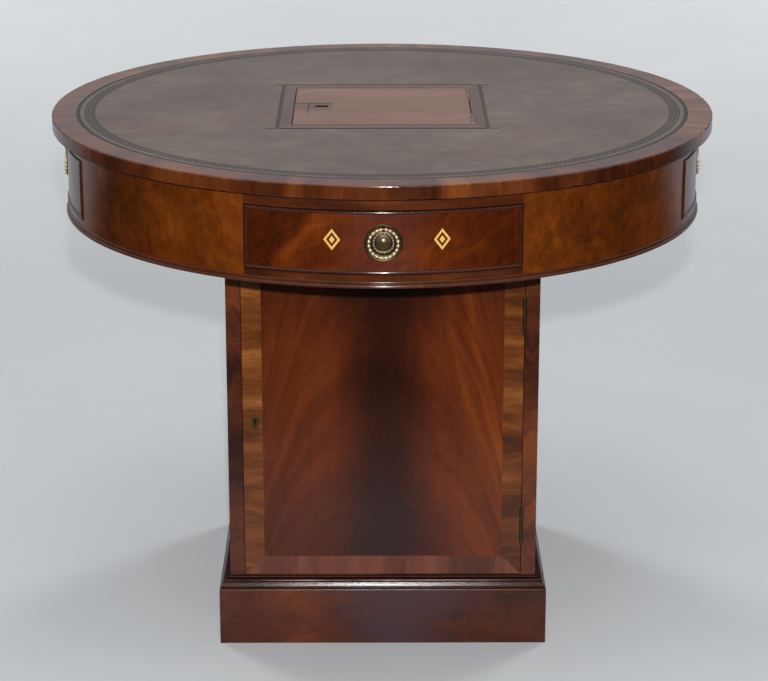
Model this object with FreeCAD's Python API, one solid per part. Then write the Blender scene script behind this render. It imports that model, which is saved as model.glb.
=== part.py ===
import FreeCAD, Part
import math
import os
from FreeCAD import Placement, Rotation, Vector

# Rent table: a round drum with four drawers and a lidded well turns on a square cupboard.
# Lengths are in millimetres. The origin is the middle of the plinth on the floor, and +Z is up.
# The cupboard door faces -Y, and +X is on the right of someone who faces the door.

# Whole table
table_height = 773.0
top_radius = 495.0
pedestal_width = 457.5
plinth_projection = 16.25
joint_gap = 0.1
running_gap = 0.3
arris = 0.8
match_tolerance = 0.01
cut_overrun = 5.0

# Round top
top_thickness = 20.0
top_overhang = 21.0
rim_width = 36.0
rim_rounding = 2.0
rim_segments = 12
rim_joint_angle = 9.0
leather_thickness = 1.5

# Drum under the top
apron_thickness = 19.0
top_rail_height = 19.0
bottom_rail_height = 13.0
base_bead_height = 5.0
base_bead_projection = 4.5
base_bead_ledge = 10.0
base_fillet_height = 4.0
base_fillet_projection = 1.4
partition_thickness = 8.0

# Drawers
drawer_opening_height = 90.0
drawer_opening_width = 379.0
drawer_gap = 1.2
drawer_bead_thickness = 4.4
drawer_bead_depth = 12.0
drawer_bead_projection = 2.2
drawer_side_height = 80.0
drawer_side_thickness = 10.0
drawer_back_thickness = 10.0
drawer_back_gap = 6.0
drawer_bottom_thickness = 6.0
drawer_bottom_rise = 5.0
drawer_stop_width = 30.0
drawer_stop_depth = 14.0
drawer_stop_height = 12.0

# Ring pulls
rosette_radius = 26.0
rosette_thickness = 0.8
rosette_rim_radius = 1.1
ring_radius = 19.8
ring_wire_radius = 2.2
ring_gap = 0.3
ring_tilt = 2.0
lug_width = 4.6
lug_wall = 1.1
boss_radius = 10.0
boss_edge_height = 1.2
boss_height = 3.6
pull_bolt_radius = 2.5
pull_nut_width = 12.0
pull_nut_thickness = 4.0

# Well and its lid
lid_width = 264.0
lid_gap = 1.3
lid_surround_width = 16.6
well_ledge = 8.0
well_wall_thickness = 16.0
well_floor_thickness = 8.0
well_floor_rise = 6.0

# Swivel between pedestal and drum
swivel_plate_radius = 110.0
swivel_plate_width = 26.0
swivel_plate_thickness = 5.0
spindle_radius = 12.0
spindle_flange_radius = 40.0
spindle_flange_thickness = 6.0
washer_radius = 24.0
washer_thickness = 2.0
spindle_nut_width = 32.0
spindle_nut_thickness = 10.0
spindle_end = 3.0

# Pedestal
plinth_height = 87.0
plinth_board_thickness = 24.0
plinth_block_width = 40.0
moulding_height = 17.5
moulding_foot_height = 3.0
moulding_foot_setback = 1.6
moulding_ovolo_radius = 9.5
moulding_ovolo_turn = 48.0
moulding_quirk = 1.2
moulding_bead_radius = 1.5
moulding_cove_radius = 4.0
moulding_fillet_projection = 2.0
side_thickness = 18.0
back_thickness = 12.0
floor_thickness = 18.0
ceiling_thickness = 18.0
shelf_thickness = 16.0
shelf_height = 350.0
shelf_setback = 25.0
stile_width = 21.5
frame_thickness = 20.0
head_rail_height = 22.0

# Cupboard door
door_gap = 1.0
crossband_width = 29.0
veneer_thickness = 1.5
escutcheon_width = 12.0
escutcheon_height = 21.0
escutcheon_thickness = 1.0

# Butt hinges
hinge_leaf_width = 15.0
hinge_leaf_thickness = 1.2
hinge_leaf_gap = 0.3
hinge_pin_radius = 1.1
hinge_pin_gap = 0.05
door_hinge_length = 55.0
door_knuckle_radius = 2.5
door_hinge_below_top = 87.0
door_hinge_above_bottom = 77.5
lid_hinge_length = 61.0
lid_knuckle_radius = 2.2
lid_hinge_spacing = 188.0

# Locks
lock_thickness = 12.0
bolt_width = 9.0
bolt_thickness = 5.0
bolt_travel = 7.0
strike_thickness = 1.2
strike_height = 30.0
strike_width = 10.0
door_lock_length = 46.0
door_lock_height = 60.0
door_lock_rise = 244.5
door_bolt_length = 14.0
door_key_backset = 18.2
door_key_eye_radius = 2.2
door_key_slot_width = 2.0
door_key_slot_length = 8.0
lid_lock_length = 54.0
lid_lock_width = 40.0
lid_bolt_length = 26.0
lid_key_backset = 47.2
lid_key_eye_radius = 2.8
lid_key_slot_width = 3.2
lid_key_slot_length = 16.2
lid_lock_offset = -3.0
lid_plate_length = 57.5
lid_plate_width = 46.0
lid_plate_thickness = 1.2

# Levels from the floor
top_underside = table_height - top_thickness
opening_top = top_underside - top_rail_height
opening_bottom = opening_top - drawer_opening_height
board_underside = opening_bottom - bottom_rail_height
drum_bottom = board_underside - base_bead_height
pedestal_top = board_underside - 2 * swivel_plate_thickness - running_gap
cupboard_floor = plinth_height + floor_thickness
cupboard_ceiling = pedestal_top - ceiling_thickness
door_bottom = cupboard_floor + door_gap
door_top = pedestal_top - head_rail_height - door_gap
washer_underside = opening_bottom + running_gap
spindle_nut_top = washer_underside + washer_thickness + spindle_nut_thickness

# Radii and half widths from the middle
leather_radius = top_radius - rim_width
apron_radius = top_radius - top_overhang
apron_inner_radius = apron_radius - apron_thickness
opening_half = drawer_opening_width / 2
drawer_half = opening_half - drawer_gap
drawer_inner_half = drawer_half - drawer_side_thickness
drawer_back = opening_half + partition_thickness + drawer_back_gap
pull_height = (opening_top + opening_bottom) / 2
lid_half = lid_width / 2
surround_inner = lid_half + lid_gap
surround_outer = surround_inner + lid_surround_width
well_inner = lid_half - well_ledge
well_outer = well_inner + well_wall_thickness
pedestal_half = pedestal_width / 2
plinth_half = pedestal_half + plinth_projection
side_inner = pedestal_half - side_thickness
stile_inner = pedestal_half - stile_width
frame_back = pedestal_half - frame_thickness
back_inner = pedestal_half - back_thickness
door_half = stile_inner - door_gap
door_lock_level = door_bottom + door_lock_rise

z_axis = Vector(0, 0, 1)
side_names = ("front", "right", "back", "left")


# Basic solids

def block(low_x, high_x, low_y, high_y, low_z, high_z):
    """A box between two opposite corners."""
    return Part.makeBox(high_x - low_x, high_y - low_y, high_z - low_z, Vector(low_x, low_y, low_z))


def disc(radius, low_z, high_z):
    """A cylinder on the table's axis."""
    return Part.makeCylinder(radius, high_z - low_z, Vector(0, 0, low_z))


def tube(inner, outer, low_z, high_z):
    """A ring on the table's axis."""
    return disc(outer, low_z, high_z).cut(disc(inner, low_z, high_z))


def slab(points, direction):
    """A flat polygon swept along a direction."""
    return Part.Face(Part.makePolygon(points + points[:1])).extrude(direction)


def wedge(reach, low_z, high_z):
    """The quarter of the plan that faces -Y, between its two mitre planes."""
    corners = [Vector(0, 0, low_z), Vector(-reach, -reach, low_z), Vector(reach, -reach, low_z)]
    return slab(corners, Vector(0, 0, high_z - low_z))


def turned(shape, quarters):
    """A copy turned about the table's axis by quarter turns."""
    copy = shape.copy()
    copy.rotate(Vector(0, 0, 0), z_axis, 90 * quarters)
    return copy


def placed(shape, place):
    """A copy moved from its own drawing position to its place on the table."""
    copy = shape.copy()
    copy.Placement = place.multiply(copy.Placement)
    return copy


def round_the_table(shape):
    """The same piece on each of the four sides."""
    return [turned(shape, quarters) for quarters in range(4)]


def rounded(shape, radius, chosen):
    """The shape with a round on the edges whose box passes the test."""
    return shape.makeFillet(radius, [edge for edge in shape.Edges if chosen(edge.BoundBox)])


def near(first, second):
    return abs(first - second) < match_tolerance


def profile_face(start, pieces):
    """A closed face in the plane y = 0. Each piece is (end,) for a line or (middle, end) for an arc."""
    edges = []
    here = Vector(start[0], 0, start[1])
    for piece in pieces:
        ahead = [Vector(x, 0, z) for x, z in piece]
        if len(ahead) == 1:
            edges.append(Part.LineSegment(here, ahead[0]).toShape())
        else:
            edges.append(Part.Arc(here, ahead[0], ahead[1]).toShape())
        here = ahead[-1]
    return Part.Face(Part.Wire(edges))


def half_round(nose, root, low_z, high_z):
    """Outline of a strip from its root out to a half-round nose, in radius and height."""
    radius = (high_z - low_z) / 2
    middle_z = low_z + radius
    shoulder = nose - radius
    return (root, low_z), [
        ((shoulder, low_z),),
        ((nose, middle_z), (shoulder, high_z)),
        ((root, high_z),),
        ((root, low_z),),
    ]


# Round top

def top_board():
    """Four mitred boards round the square well."""
    quarter = wedge(top_radius, top_underside, table_height - leather_thickness)
    quarter = quarter.common(disc(leather_radius, top_underside, table_height - leather_thickness))
    return round_the_table(quarter.cut(well_hole()))


def well_hole():
    """The square through the top that the lid and its surround fill."""
    reach = surround_outer
    return block(-reach, reach, -reach, reach, top_underside - cut_overrun, table_height + cut_overrun)


def top_rim():
    """Crossbanded lipping in equal lengths, its outer edges softened."""
    low, high = top_underside, table_height
    soft = rim_rounding * (1 - math.sqrt(0.5))
    face = profile_face((leather_radius, low), [
        ((top_radius - rim_rounding, low),),
        ((top_radius - soft, low + soft), (top_radius, low + rim_rounding)),
        ((top_radius, high - rim_rounding),),
        ((top_radius - soft, high - soft), (top_radius - rim_rounding, high)),
        ((leather_radius, high),),
        ((leather_radius, low),),
    ])
    span = 360 / rim_segments
    segments = []
    for number in range(rim_segments):
        segment = face.revolve(Vector(0, 0, 0), z_axis, span)
        segment.rotate(Vector(0, 0, 0), z_axis, rim_joint_angle - 90 + span * number)
        segments.append(segment)
    return segments


def top_leather():
    return [disc(leather_radius, table_height - leather_thickness, table_height).cut(well_hole())]


def lid_surround():
    """Four mitred strips round the lid, let in for the lid's hinges and strike."""
    strip = wedge(surround_outer, top_underside, table_height)
    strip = strip.common(block(-surround_outer, surround_outer, -surround_outer, -surround_inner,
                               top_underside, table_height))
    strips = round_the_table(strip)
    strips[1] = strips[1].cut(lid_hinge_cut())
    strips[3] = strips[3].cut(strike_recess(lid_gap, lid_lock_place()))
    return strips


# Drum

def apron_panels():
    """Four curved panels between the drawers, from the base bead to the top."""
    curve = tube(apron_inner_radius, apron_radius, board_underside, top_underside)
    corner = block(opening_half, apron_radius, -apron_radius, -opening_half,
                   board_underside, top_underside)
    return round_the_table(curve.common(corner))


def drawer_rails():
    """A rail over each drawer and one under it."""
    rails = []
    for low, high in ((opening_top, top_underside), (board_underside, opening_bottom)):
        curve = tube(apron_inner_radius, apron_radius, low, high)
        front = block(-opening_half, opening_half, -apron_radius, 0, low, high)
        rails += round_the_table(curve.common(front))
    return rails


def base_bead():
    """Bead and round-topped fillet at the foot of the apron, with a ledge for the bottom board."""
    nose = apron_radius + base_bead_projection
    root = apron_inner_radius - base_bead_ledge
    start, outline = half_round(nose, root, drum_bottom, board_underside)
    fillet_top = board_underside + base_fillet_height
    spring = fillet_top - base_fillet_projection
    slant = base_fillet_projection * math.sqrt(0.5)
    fillet = [
        ((apron_radius + base_fillet_projection, board_underside),),
        ((apron_radius + base_fillet_projection, spring),),
        ((apron_radius + slant, spring + slant), (apron_radius, fillet_top)),
        ((apron_radius, board_underside),),
    ]
    face = profile_face(start, outline[:2] + fillet + outline[2:])
    length = face.revolve(Vector(0, 0, 0), z_axis, 90)
    length.rotate(Vector(0, 0, 0), z_axis, -135)
    return round_the_table(length)


def drum_board():
    """The round board under the drawers, bored for the spindle."""
    board = disc(apron_inner_radius, board_underside, opening_bottom)
    return [board.cut(disc(spindle_radius + joint_gap, board_underside, opening_bottom))]


def drawer_partitions():
    """Two guides in each corner between the drawers, and a stop block behind each drawer."""
    inside = disc(apron_inner_radius, opening_bottom, top_underside)
    near_side = opening_half
    far_side = opening_half + partition_thickness
    along_front = block(near_side, far_side, -apron_radius, -near_side, opening_bottom, top_underside)
    along_right = block(far_side, apron_radius, -far_side, -near_side, opening_bottom, top_underside)
    stop_face = drawer_back - running_gap
    stop = block(-drawer_stop_width / 2, drawer_stop_width / 2, -stop_face,
                 drawer_stop_depth - stop_face, opening_bottom, opening_bottom + drawer_stop_height)
    pieces = round_the_table(along_front.common(inside))
    pieces += round_the_table(along_right.common(inside))
    return pieces + round_the_table(stop)


def well_walls():
    """Four mitred walls. Their tops carry the lid on a narrow ledge."""
    wall = wedge(well_outer, opening_bottom, top_underside)
    wall = wall.common(block(-well_outer, well_outer, -well_outer, -well_inner,
                             opening_bottom, top_underside))
    return round_the_table(wall)


def well_floor():
    low = spindle_nut_top + well_floor_rise
    return [block(-well_inner, well_inner, -well_inner, well_inner, low, low + well_floor_thickness)]


# Drawers, built on the front side

def drawer_zone(inner, outer, half, low, high):
    """The curved zone of a drawer front between two radii."""
    return tube(inner, outer, low, high).common(block(-half, half, -outer, 0, low, high))


def drawer_levels():
    return opening_bottom + drawer_gap, opening_top - drawer_gap


def bead_zone():
    """The space that the cock bead takes out of the drawer front."""
    low, high = drawer_levels()
    thickness = drawer_bead_thickness
    zone = drawer_zone(apron_radius - drawer_bead_depth, apron_radius, drawer_half, low, high)
    window = block(thickness - drawer_half, drawer_half - thickness, -top_radius, 0,
                   low + thickness, high - thickness)
    return zone.cut(window)


def drawer_face():
    """The curved front, rebated for the bead and bored for the pull."""
    low, high = drawer_levels()
    face = drawer_zone(apron_inner_radius, apron_radius, drawer_half, low, high).cut(bead_zone())
    bore = Part.makeCylinder(pull_bolt_radius + joint_gap, top_radius, Vector(0, 0, pull_height),
                             Vector(0, -1, 0))
    return [face.cut(bore)]


def drawer_bead():
    """Four strips with rounded noses that stand proud of the drawer front."""
    low, high = drawer_levels()
    thickness = drawer_bead_thickness
    root = apron_radius - drawer_bead_depth
    nose = apron_radius + drawer_bead_projection
    strips = []
    for strip_low in (low, high - thickness):
        face = profile_face(*half_round(nose, root, strip_low, strip_low + thickness))
        strip = face.revolve(Vector(0, 0, 0), z_axis, 90)
        strip.rotate(Vector(0, 0, 0), z_axis, -135)
        strips.append(strip.common(block(-drawer_half, drawer_half, -top_radius, 0, low, high)))
    for start in (-drawer_half, drawer_half - thickness):
        strips.append(bead_upright(start, root, nose, low + thickness, high - thickness))
    return strips


def bead_upright(start, root, nose, low, high):
    """An upright strip of the bead, drawn in plan between two lines parallel to the travel."""
    thickness = drawer_bead_thickness

    def at(x, radius):
        return Vector(x, -math.sqrt(radius * radius - x * x), low)

    shoulder = nose - thickness / 2
    end = start + thickness
    corners = [at(start, shoulder), at(start, root - thickness), at(end, root - thickness), at(end, shoulder)]
    edges = [Part.LineSegment(corners[k], corners[k + 1]).toShape() for k in range(3)]
    edges.append(Part.Arc(corners[3], at(start + thickness / 2, nose), corners[0]).toShape())
    strip = Part.Face(Part.Wire(edges)).extrude(Vector(0, 0, high - low))
    return strip.cut(disc(root, low, high))


def drawer_box():
    """Two sides, a back and a bottom."""
    inside = disc(apron_inner_radius, opening_bottom, opening_top)
    low = opening_bottom + running_gap
    high = low + drawer_side_height
    side = block(drawer_inner_half, drawer_half, -apron_radius, -drawer_back, low, high).common(inside)
    other_side = side.mirror(Vector(0, 0, 0), Vector(1, 0, 0))
    board_low = low + drawer_bottom_rise
    board_high = board_low + drawer_bottom_thickness
    bottom = block(-drawer_inner_half, drawer_inner_half, -apron_radius, -drawer_back,
                   board_low, board_high).common(inside)
    back = block(-drawer_inner_half, drawer_inner_half, -drawer_back - drawer_back_thickness,
                 -drawer_back, board_high, high)
    return [side, other_side, back, bottom]


# Ring pulls, built flat with +Z out of the drawer and +Y up, then set on the front drawer

def on_drawer(shape):
    return placed(shape, Placement(Vector(0, -apron_radius, pull_height), Rotation(Vector(1, 0, 0), 90)))


def ring_level():
    """Height of the ring's pivot over the drawer front."""
    return rosette_thickness + ring_gap + ring_wire_radius


def rosette():
    """Stamped plate, pivot lug, domed boss with its bolt, and the nut inside the drawer."""
    return [on_drawer(rosette_plate()).cut(disc(apron_radius, opening_bottom, opening_top)),
            on_drawer(pull_lug()), on_drawer(pull_boss()), on_drawer(pull_nut())]


def rosette_plate():
    rim = rosette_rim_radius
    outer = rosette_radius
    face = profile_face((pull_bolt_radius, -rosette_thickness), [
        ((outer, -rosette_thickness),),
        ((outer, rosette_thickness),),
        ((outer - rim, rosette_thickness + rim), (outer - 2 * rim, rosette_thickness)),
        ((pull_bolt_radius, rosette_thickness),),
        ((pull_bolt_radius, -rosette_thickness),),
    ])
    return face.revolve(Vector(0, 0, 0), z_axis, 360)


def pull_lug():
    """A staple at the top of the plate. The ring passes through it."""
    level = ring_level()
    eye = ring_wire_radius + ring_gap
    outer = eye + lug_wall
    start = Vector(-lug_width / 2, ring_radius, level)
    arch = Part.makeCylinder(outer, lug_width, start, Vector(1, 0, 0))
    arch = arch.cut(Part.makeCylinder(eye, lug_width, start, Vector(1, 0, 0)))
    arch = arch.cut(block(-lug_width, lug_width, -rosette_radius, rosette_radius, -level, level))
    legs = block(-lug_width / 2, lug_width / 2, ring_radius - outer, ring_radius + outer,
                 rosette_thickness, level)
    legs = legs.cut(block(-lug_width, lug_width, ring_radius - eye, ring_radius + eye,
                          rosette_thickness, level))
    return arch.fuse(legs).removeSplitter()


def pull_boss():
    """Shallow dome with the bolt that holds the pull through the drawer front."""
    base = rosette_thickness
    edge = base + boss_edge_height
    rise = boss_height - edge
    dome_radius = (boss_radius ** 2 + rise ** 2) / (2 * rise)
    middle_x = boss_radius / 2
    middle_z = boss_height - dome_radius + math.sqrt(dome_radius ** 2 - middle_x ** 2)
    end = -apron_thickness - pull_nut_thickness - joint_gap
    face = profile_face((0, end), [
        ((pull_bolt_radius, end),),
        ((pull_bolt_radius, base),),
        ((boss_radius, base),),
        ((boss_radius, edge),),
        ((middle_x, middle_z), (0, boss_height)),
        ((0, end),),
    ])
    return face.revolve(Vector(0, 0, 0), z_axis, 360)


def hexagon(width, low_z, high_z):
    """A six-sided prism, given its width across flats."""
    corner = width / math.sqrt(3)
    points = [Vector(corner * math.cos(math.radians(60 * k)), corner * math.sin(math.radians(60 * k)), low_z)
              for k in range(6)]
    return slab(points, Vector(0, 0, high_z - low_z))


def pull_nut():
    high = -apron_thickness - joint_gap
    nut = hexagon(pull_nut_width, high - pull_nut_thickness, high)
    return nut.cut(disc(pull_bolt_radius, high - pull_nut_thickness, high))


def pull_ring():
    """The ring leans out a little from its eye at the top."""
    level = ring_level()
    ring = Part.makeTorus(ring_radius, ring_wire_radius, Vector(0, 0, level))
    ring.rotate(Vector(0, ring_radius, level), Vector(1, 0, 0), -ring_tilt)
    return [on_drawer(ring)]


# Hinges, built with the pin on Z, the fixed leaf on +X and the leaves reaching to +Y

def hinge(length, knuckle, part):
    """One piece of a butt hinge, or the recess that it needs in the wood."""
    half = length / 2
    knuckle_half = length / 6
    pin = disc(hinge_pin_radius, -half, half)
    inner = hinge_leaf_gap / 2
    outer = inner + hinge_leaf_thickness
    leaf = block(inner, outer, 0, hinge_leaf_width, -half, half)
    if part == "recess":
        other = block(-outer, 0, 0, hinge_leaf_width, -half, half)
        groove = disc(knuckle + running_gap, -half - running_gap, half + running_gap)
        return block(0, outer, 0, hinge_leaf_width, -half, half).fuse(other).fuse(groove)
    if part == "pin":
        return pin
    centre = disc(knuckle, -knuckle_half + running_gap / 2, knuckle_half - running_gap / 2)
    if part == "flap":
        leaf = leaf.mirror(Vector(0, 0, 0), Vector(1, 0, 0))
        clear = disc(knuckle + running_gap, -half, -knuckle_half + running_gap / 2)
        clear = clear.fuse(disc(knuckle + running_gap, knuckle_half - running_gap / 2, half))
        return leaf.cut(clear).fuse(centre).cut(disc(hinge_pin_radius + hinge_pin_gap, -half, half))
    clear = disc(knuckle + running_gap, -knuckle_half - running_gap / 2, knuckle_half + running_gap / 2)
    ends = disc(knuckle, -half, -knuckle_half - running_gap / 2)
    ends = ends.fuse(disc(knuckle, knuckle_half + running_gap / 2, half))
    return leaf.cut(clear).fuse(ends).cut(pin)


def placed_hinges(places, rotation, length, knuckle, part):
    """The same hinge piece at several places."""
    return [placed(hinge(length, knuckle, part), Placement(place, rotation)) for place in places]


def door_hinge_set(part):
    side = door_half + door_gap / 2
    places = [Vector(side, -pedestal_half, door_top - door_hinge_below_top),
              Vector(side, -pedestal_half, door_bottom + door_hinge_above_bottom)]
    return placed_hinges(places, Rotation(), door_hinge_length, door_knuckle_radius, part)


def lid_hinge_set(part):
    side = lid_half + lid_gap / 2
    places = [Vector(side, -lid_hinge_spacing / 2, table_height),
              Vector(side, lid_hinge_spacing / 2, table_height)]
    rotation = Rotation(Vector(1, 0, 0), -90)
    return placed_hinges(places, rotation, lid_hinge_length, lid_knuckle_radius, part)


def door_hinge_cut():
    return Part.makeCompound(door_hinge_set("recess"))


def lid_hinge_cut():
    return Part.makeCompound(lid_hinge_set("recess"))


# Locks, built with the bolt's travel on -X, the edge of the door or lid at X = 0,
# the width on Y and the thickness on Z, centred on the bolt

def lock_case(length, width, bolt_length):
    """The case, with a channel for the bolt."""
    case = block(0, length, -width / 2, width / 2, -lock_thickness / 2, lock_thickness / 2)
    reach_y = bolt_width / 2 + running_gap
    reach_z = bolt_thickness / 2 + running_gap
    channel = block(0, bolt_length + 2 * running_gap, -reach_y, reach_y, -reach_z, reach_z)
    return case.cut(channel)


def keyhole(eye_radius, slot_width, slot_length, reach):
    """A round eye on Z and a slot that runs from it to -Y, cut both ways through the thickness."""
    eye = disc(eye_radius, -reach, reach)
    return eye.fuse(block(-slot_width / 2, slot_width / 2, -slot_length, 0, -reach, reach))


def lock_bolt(bolt_length):
    return block(running_gap, running_gap + bolt_length, -bolt_width / 2, bolt_width / 2,
                 -bolt_thickness / 2, bolt_thickness / 2)


def strike(gap):
    """The plate that the bolt enters, let into the edge across the gap."""
    plate = block(-gap - strike_thickness, -gap, -strike_height / 2, strike_height / 2,
                  -strike_width / 2, strike_width / 2)
    reach_y = bolt_width / 2 + running_gap
    reach_z = bolt_thickness / 2 + running_gap
    return plate.cut(block(-gap - strike_thickness, -gap, -reach_y, reach_y, -reach_z, reach_z))


def strike_recess(gap, place):
    """The recess for the strike and the mortise behind it."""
    plate = block(-gap - strike_thickness, 0, -strike_height / 2, strike_height / 2,
                  -strike_width / 2, strike_width / 2)
    reach_y = bolt_width / 2 + running_gap
    reach_z = bolt_thickness / 2 + running_gap
    mortise = block(-bolt_travel - running_gap, 0, -reach_y, reach_y, -reach_z, reach_z)
    return placed(plate.fuse(mortise), place)


def door_lock_place():
    """The door's lock stands upright, flush with the back of the door."""
    level = Vector(-door_half, -frame_back - lock_thickness / 2, door_lock_level)
    return Placement(level, Rotation(Vector(1, 0, 0), 90))


def lid_lock_place():
    """The lid's lock lies flat under its plate."""
    height = table_height - lid_plate_thickness - lock_thickness / 2
    return Placement(Vector(-lid_half, lid_lock_offset, height), Rotation())


# Lid

def lid_lock_zone():
    """The space for the lock and its plate."""
    low = table_height - lid_plate_thickness - lock_thickness
    high = table_height - lid_plate_thickness
    case = block(-lid_half, lid_lock_length - lid_half, lid_lock_offset - lid_lock_width / 2,
                 lid_lock_offset + lid_lock_width / 2, low, high)
    return case.fuse(lid_plate_blank())


def lid_plate_blank():
    return block(-lid_half, lid_plate_length - lid_half, lid_lock_offset - lid_plate_width / 2,
                 lid_lock_offset + lid_plate_width / 2, table_height - lid_plate_thickness, table_height)


def lid_key_cut():
    """The lid's keyhole, its slot turned to run along X."""
    shape = keyhole(lid_key_eye_radius, lid_key_slot_width, lid_key_slot_length, top_thickness)
    middle = Vector(lid_key_backset - lid_half, lid_lock_offset, table_height)
    return placed(shape, Placement(middle, Rotation(z_axis, -90)))


def lid_panel():
    """The flush lid, cut for its hinges, its lock and the key."""
    panel = block(-lid_half, lid_half, -lid_half, lid_half, top_underside + running_gap, table_height)
    return [panel.cut(lid_hinge_cut()).cut(lid_lock_zone())]


def lid_plate():
    return [lid_plate_blank().cut(lid_key_cut())]


def lid_lock():
    case = lock_case(lid_lock_length, lid_lock_width, lid_bolt_length)
    return [placed(case, lid_lock_place()).cut(lid_key_cut())]


def lid_bolt():
    return [placed(lock_bolt(lid_bolt_length), lid_lock_place())]


def lid_strike():
    return [placed(strike(lid_gap), lid_lock_place())]


# Pedestal

def plinth_boards():
    """Four mitred boards, their top outer edges softened."""
    board = wedge(plinth_half, 0, plinth_height)
    board = board.common(block(-plinth_half, plinth_half, -plinth_half,
                               plinth_board_thickness - plinth_half, 0, plinth_height))
    board = rounded(board, arris, lambda box: near(box.YMax, -plinth_half) and near(box.ZMin, plinth_height))
    return round_the_table(board)


def plinth_blocks():
    """Glue blocks in the corners of the plinth."""
    high = plinth_half - plinth_board_thickness
    low = high - plinth_block_width
    return round_the_table(block(low, high, -high, -low, 0, plinth_height))


def plinth_moulding():
    """Fillet, ovolo, bead, cove and fillet, planted on the plinth round the case, mitred."""
    low = plinth_height
    high = plinth_height + moulding_height
    outer = plinth_half - moulding_foot_setback
    fillet_x = pedestal_half + moulding_fillet_projection
    ovolo_low = low + moulding_foot_height

    def on_ovolo(turn):
        angle = math.radians(turn)
        return (moulding_ovolo_radius * (1 - math.cos(angle)) - outer,
                ovolo_low + moulding_ovolo_radius * math.sin(angle))

    ovolo_x, ovolo_high = on_ovolo(moulding_ovolo_turn)
    bead_x = ovolo_x + moulding_quirk + moulding_bead_radius
    bead_high = ovolo_high + 2 * moulding_bead_radius
    hollow = moulding_cove_radius * (1 - math.sqrt(0.5))
    outline = profile_face((-pedestal_half, low), [
        ((-outer, low),),
        ((-outer, ovolo_low),),
        (on_ovolo(moulding_ovolo_turn / 2), (ovolo_x, ovolo_high)),
        ((bead_x, ovolo_high),),
        ((bead_x - moulding_bead_radius, ovolo_high + moulding_bead_radius), (bead_x, bead_high)),
        ((-fillet_x - moulding_cove_radius, bead_high),),
        ((-fillet_x - hollow, bead_high + hollow), (-fillet_x, bead_high + moulding_cove_radius)),
        ((-fillet_x, high),),
        ((-pedestal_half, high),),
        ((-pedestal_half, low),),
    ])
    outline.rotate(Vector(0, 0, 0), z_axis, 90)
    outline.translate(Vector(-plinth_half, 0, 0))
    strip = outline.extrude(Vector(2 * plinth_half, 0, 0))
    return round_the_table(strip.common(wedge(plinth_half, low, high)))


def pedestal_sides():
    """The two sides, their back corners softened."""
    side = block(side_inner, pedestal_half, -frame_back, pedestal_half, plinth_height, pedestal_top)
    side = rounded(side, arris, lambda box: near(box.XMin, pedestal_half) and near(box.YMin, pedestal_half))
    return [side, side.mirror(Vector(0, 0, 0), Vector(1, 0, 0))]


def pedestal_back():
    return [block(-side_inner, side_inner, back_inner, pedestal_half, plinth_height, pedestal_top)]


def pedestal_floor():
    return [block(-side_inner, side_inner, -frame_back, back_inner, plinth_height, cupboard_floor)]


def pedestal_shelf():
    """The loose shelf, set back behind the door."""
    return [block(-side_inner, side_inner, shelf_setback - frame_back, back_inner,
                  shelf_height, shelf_height + shelf_thickness)]


def pedestal_ceiling():
    """The board that carries the swivel, bored for the spindle."""
    board = block(-side_inner, side_inner, -frame_back, back_inner, cupboard_ceiling, pedestal_top)
    return [board.cut(disc(spindle_radius + joint_gap, cupboard_ceiling, pedestal_top))]


def face_frame():
    """Two stiles, a head rail and a foot rail round the door."""
    stile = block(stile_inner, pedestal_half, -pedestal_half, -frame_back, plinth_height, pedestal_top)
    stile = rounded(stile, arris,
                    lambda box: near(box.XMin, pedestal_half) and near(box.YMax, -pedestal_half))
    other = stile.mirror(Vector(0, 0, 0), Vector(1, 0, 0))
    head = block(-stile_inner, stile_inner, -pedestal_half, -frame_back,
                 pedestal_top - head_rail_height, pedestal_top)
    foot = block(-stile_inner, stile_inner, -pedestal_half, -frame_back, plinth_height, cupboard_floor)
    return [stile.cut(door_hinge_cut()), other.cut(strike_recess(door_gap, door_lock_place())),
            head, foot]


def door_strike():
    return [placed(strike(door_gap), door_lock_place())]


# Cupboard door

def door_key_cut():
    """The door's keyhole, its eye above its slot, through the front and into the lock."""
    shape = keyhole(door_key_eye_radius, door_key_slot_width, door_key_slot_length, frame_thickness)
    shape.translate(Vector(door_key_backset, 0, 0))
    return placed(shape, door_lock_place())


def door_lock_zone():
    return block(-door_half, door_lock_length - door_half, -frame_back - lock_thickness, -frame_back,
                 door_lock_level - door_lock_height / 2, door_lock_level + door_lock_height / 2)


def crossband_blanks():
    """Four mitred strips of veneer along the door's edges."""
    inner = door_half - crossband_width
    low, high = door_bottom, door_top
    inner_low, inner_high = low + crossband_width, high - crossband_width
    plane = -pedestal_half
    outlines = [
        [(-door_half, low), (door_half, low), (inner, inner_low), (-inner, inner_low)],
        [(-door_half, high), (-inner, inner_high), (inner, inner_high), (door_half, high)],
        [(-door_half, low), (-inner, inner_low), (-inner, inner_high), (-door_half, high)],
        [(door_half, low), (door_half, high), (inner, inner_high), (inner, inner_low)],
    ]
    strips = []
    for outline in outlines:
        points = [Vector(x, plane, z) for x, z in outline]
        strips.append(slab(points, Vector(0, veneer_thickness, 0)))
    return strips


def door_crossband():
    cuts = door_hinge_cut().fuse(door_key_cut())
    return [strip.cut(cuts) for strip in crossband_blanks()]


def door_panel():
    """The door's core with its raised centre, cut for hinges, lock and key."""
    panel = block(-door_half, door_half, -pedestal_half, -frame_back, door_bottom, door_top)
    for strip in crossband_blanks():
        panel = panel.cut(strip)
    return [panel.cut(door_hinge_cut()).cut(door_lock_zone()).cut(door_key_cut())]


def door_lock():
    case = lock_case(door_lock_length, door_lock_height, door_bolt_length)
    return [placed(case, door_lock_place()).cut(door_key_cut())]


def door_bolt():
    return [placed(lock_bolt(door_bolt_length), door_lock_place())]


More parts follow.
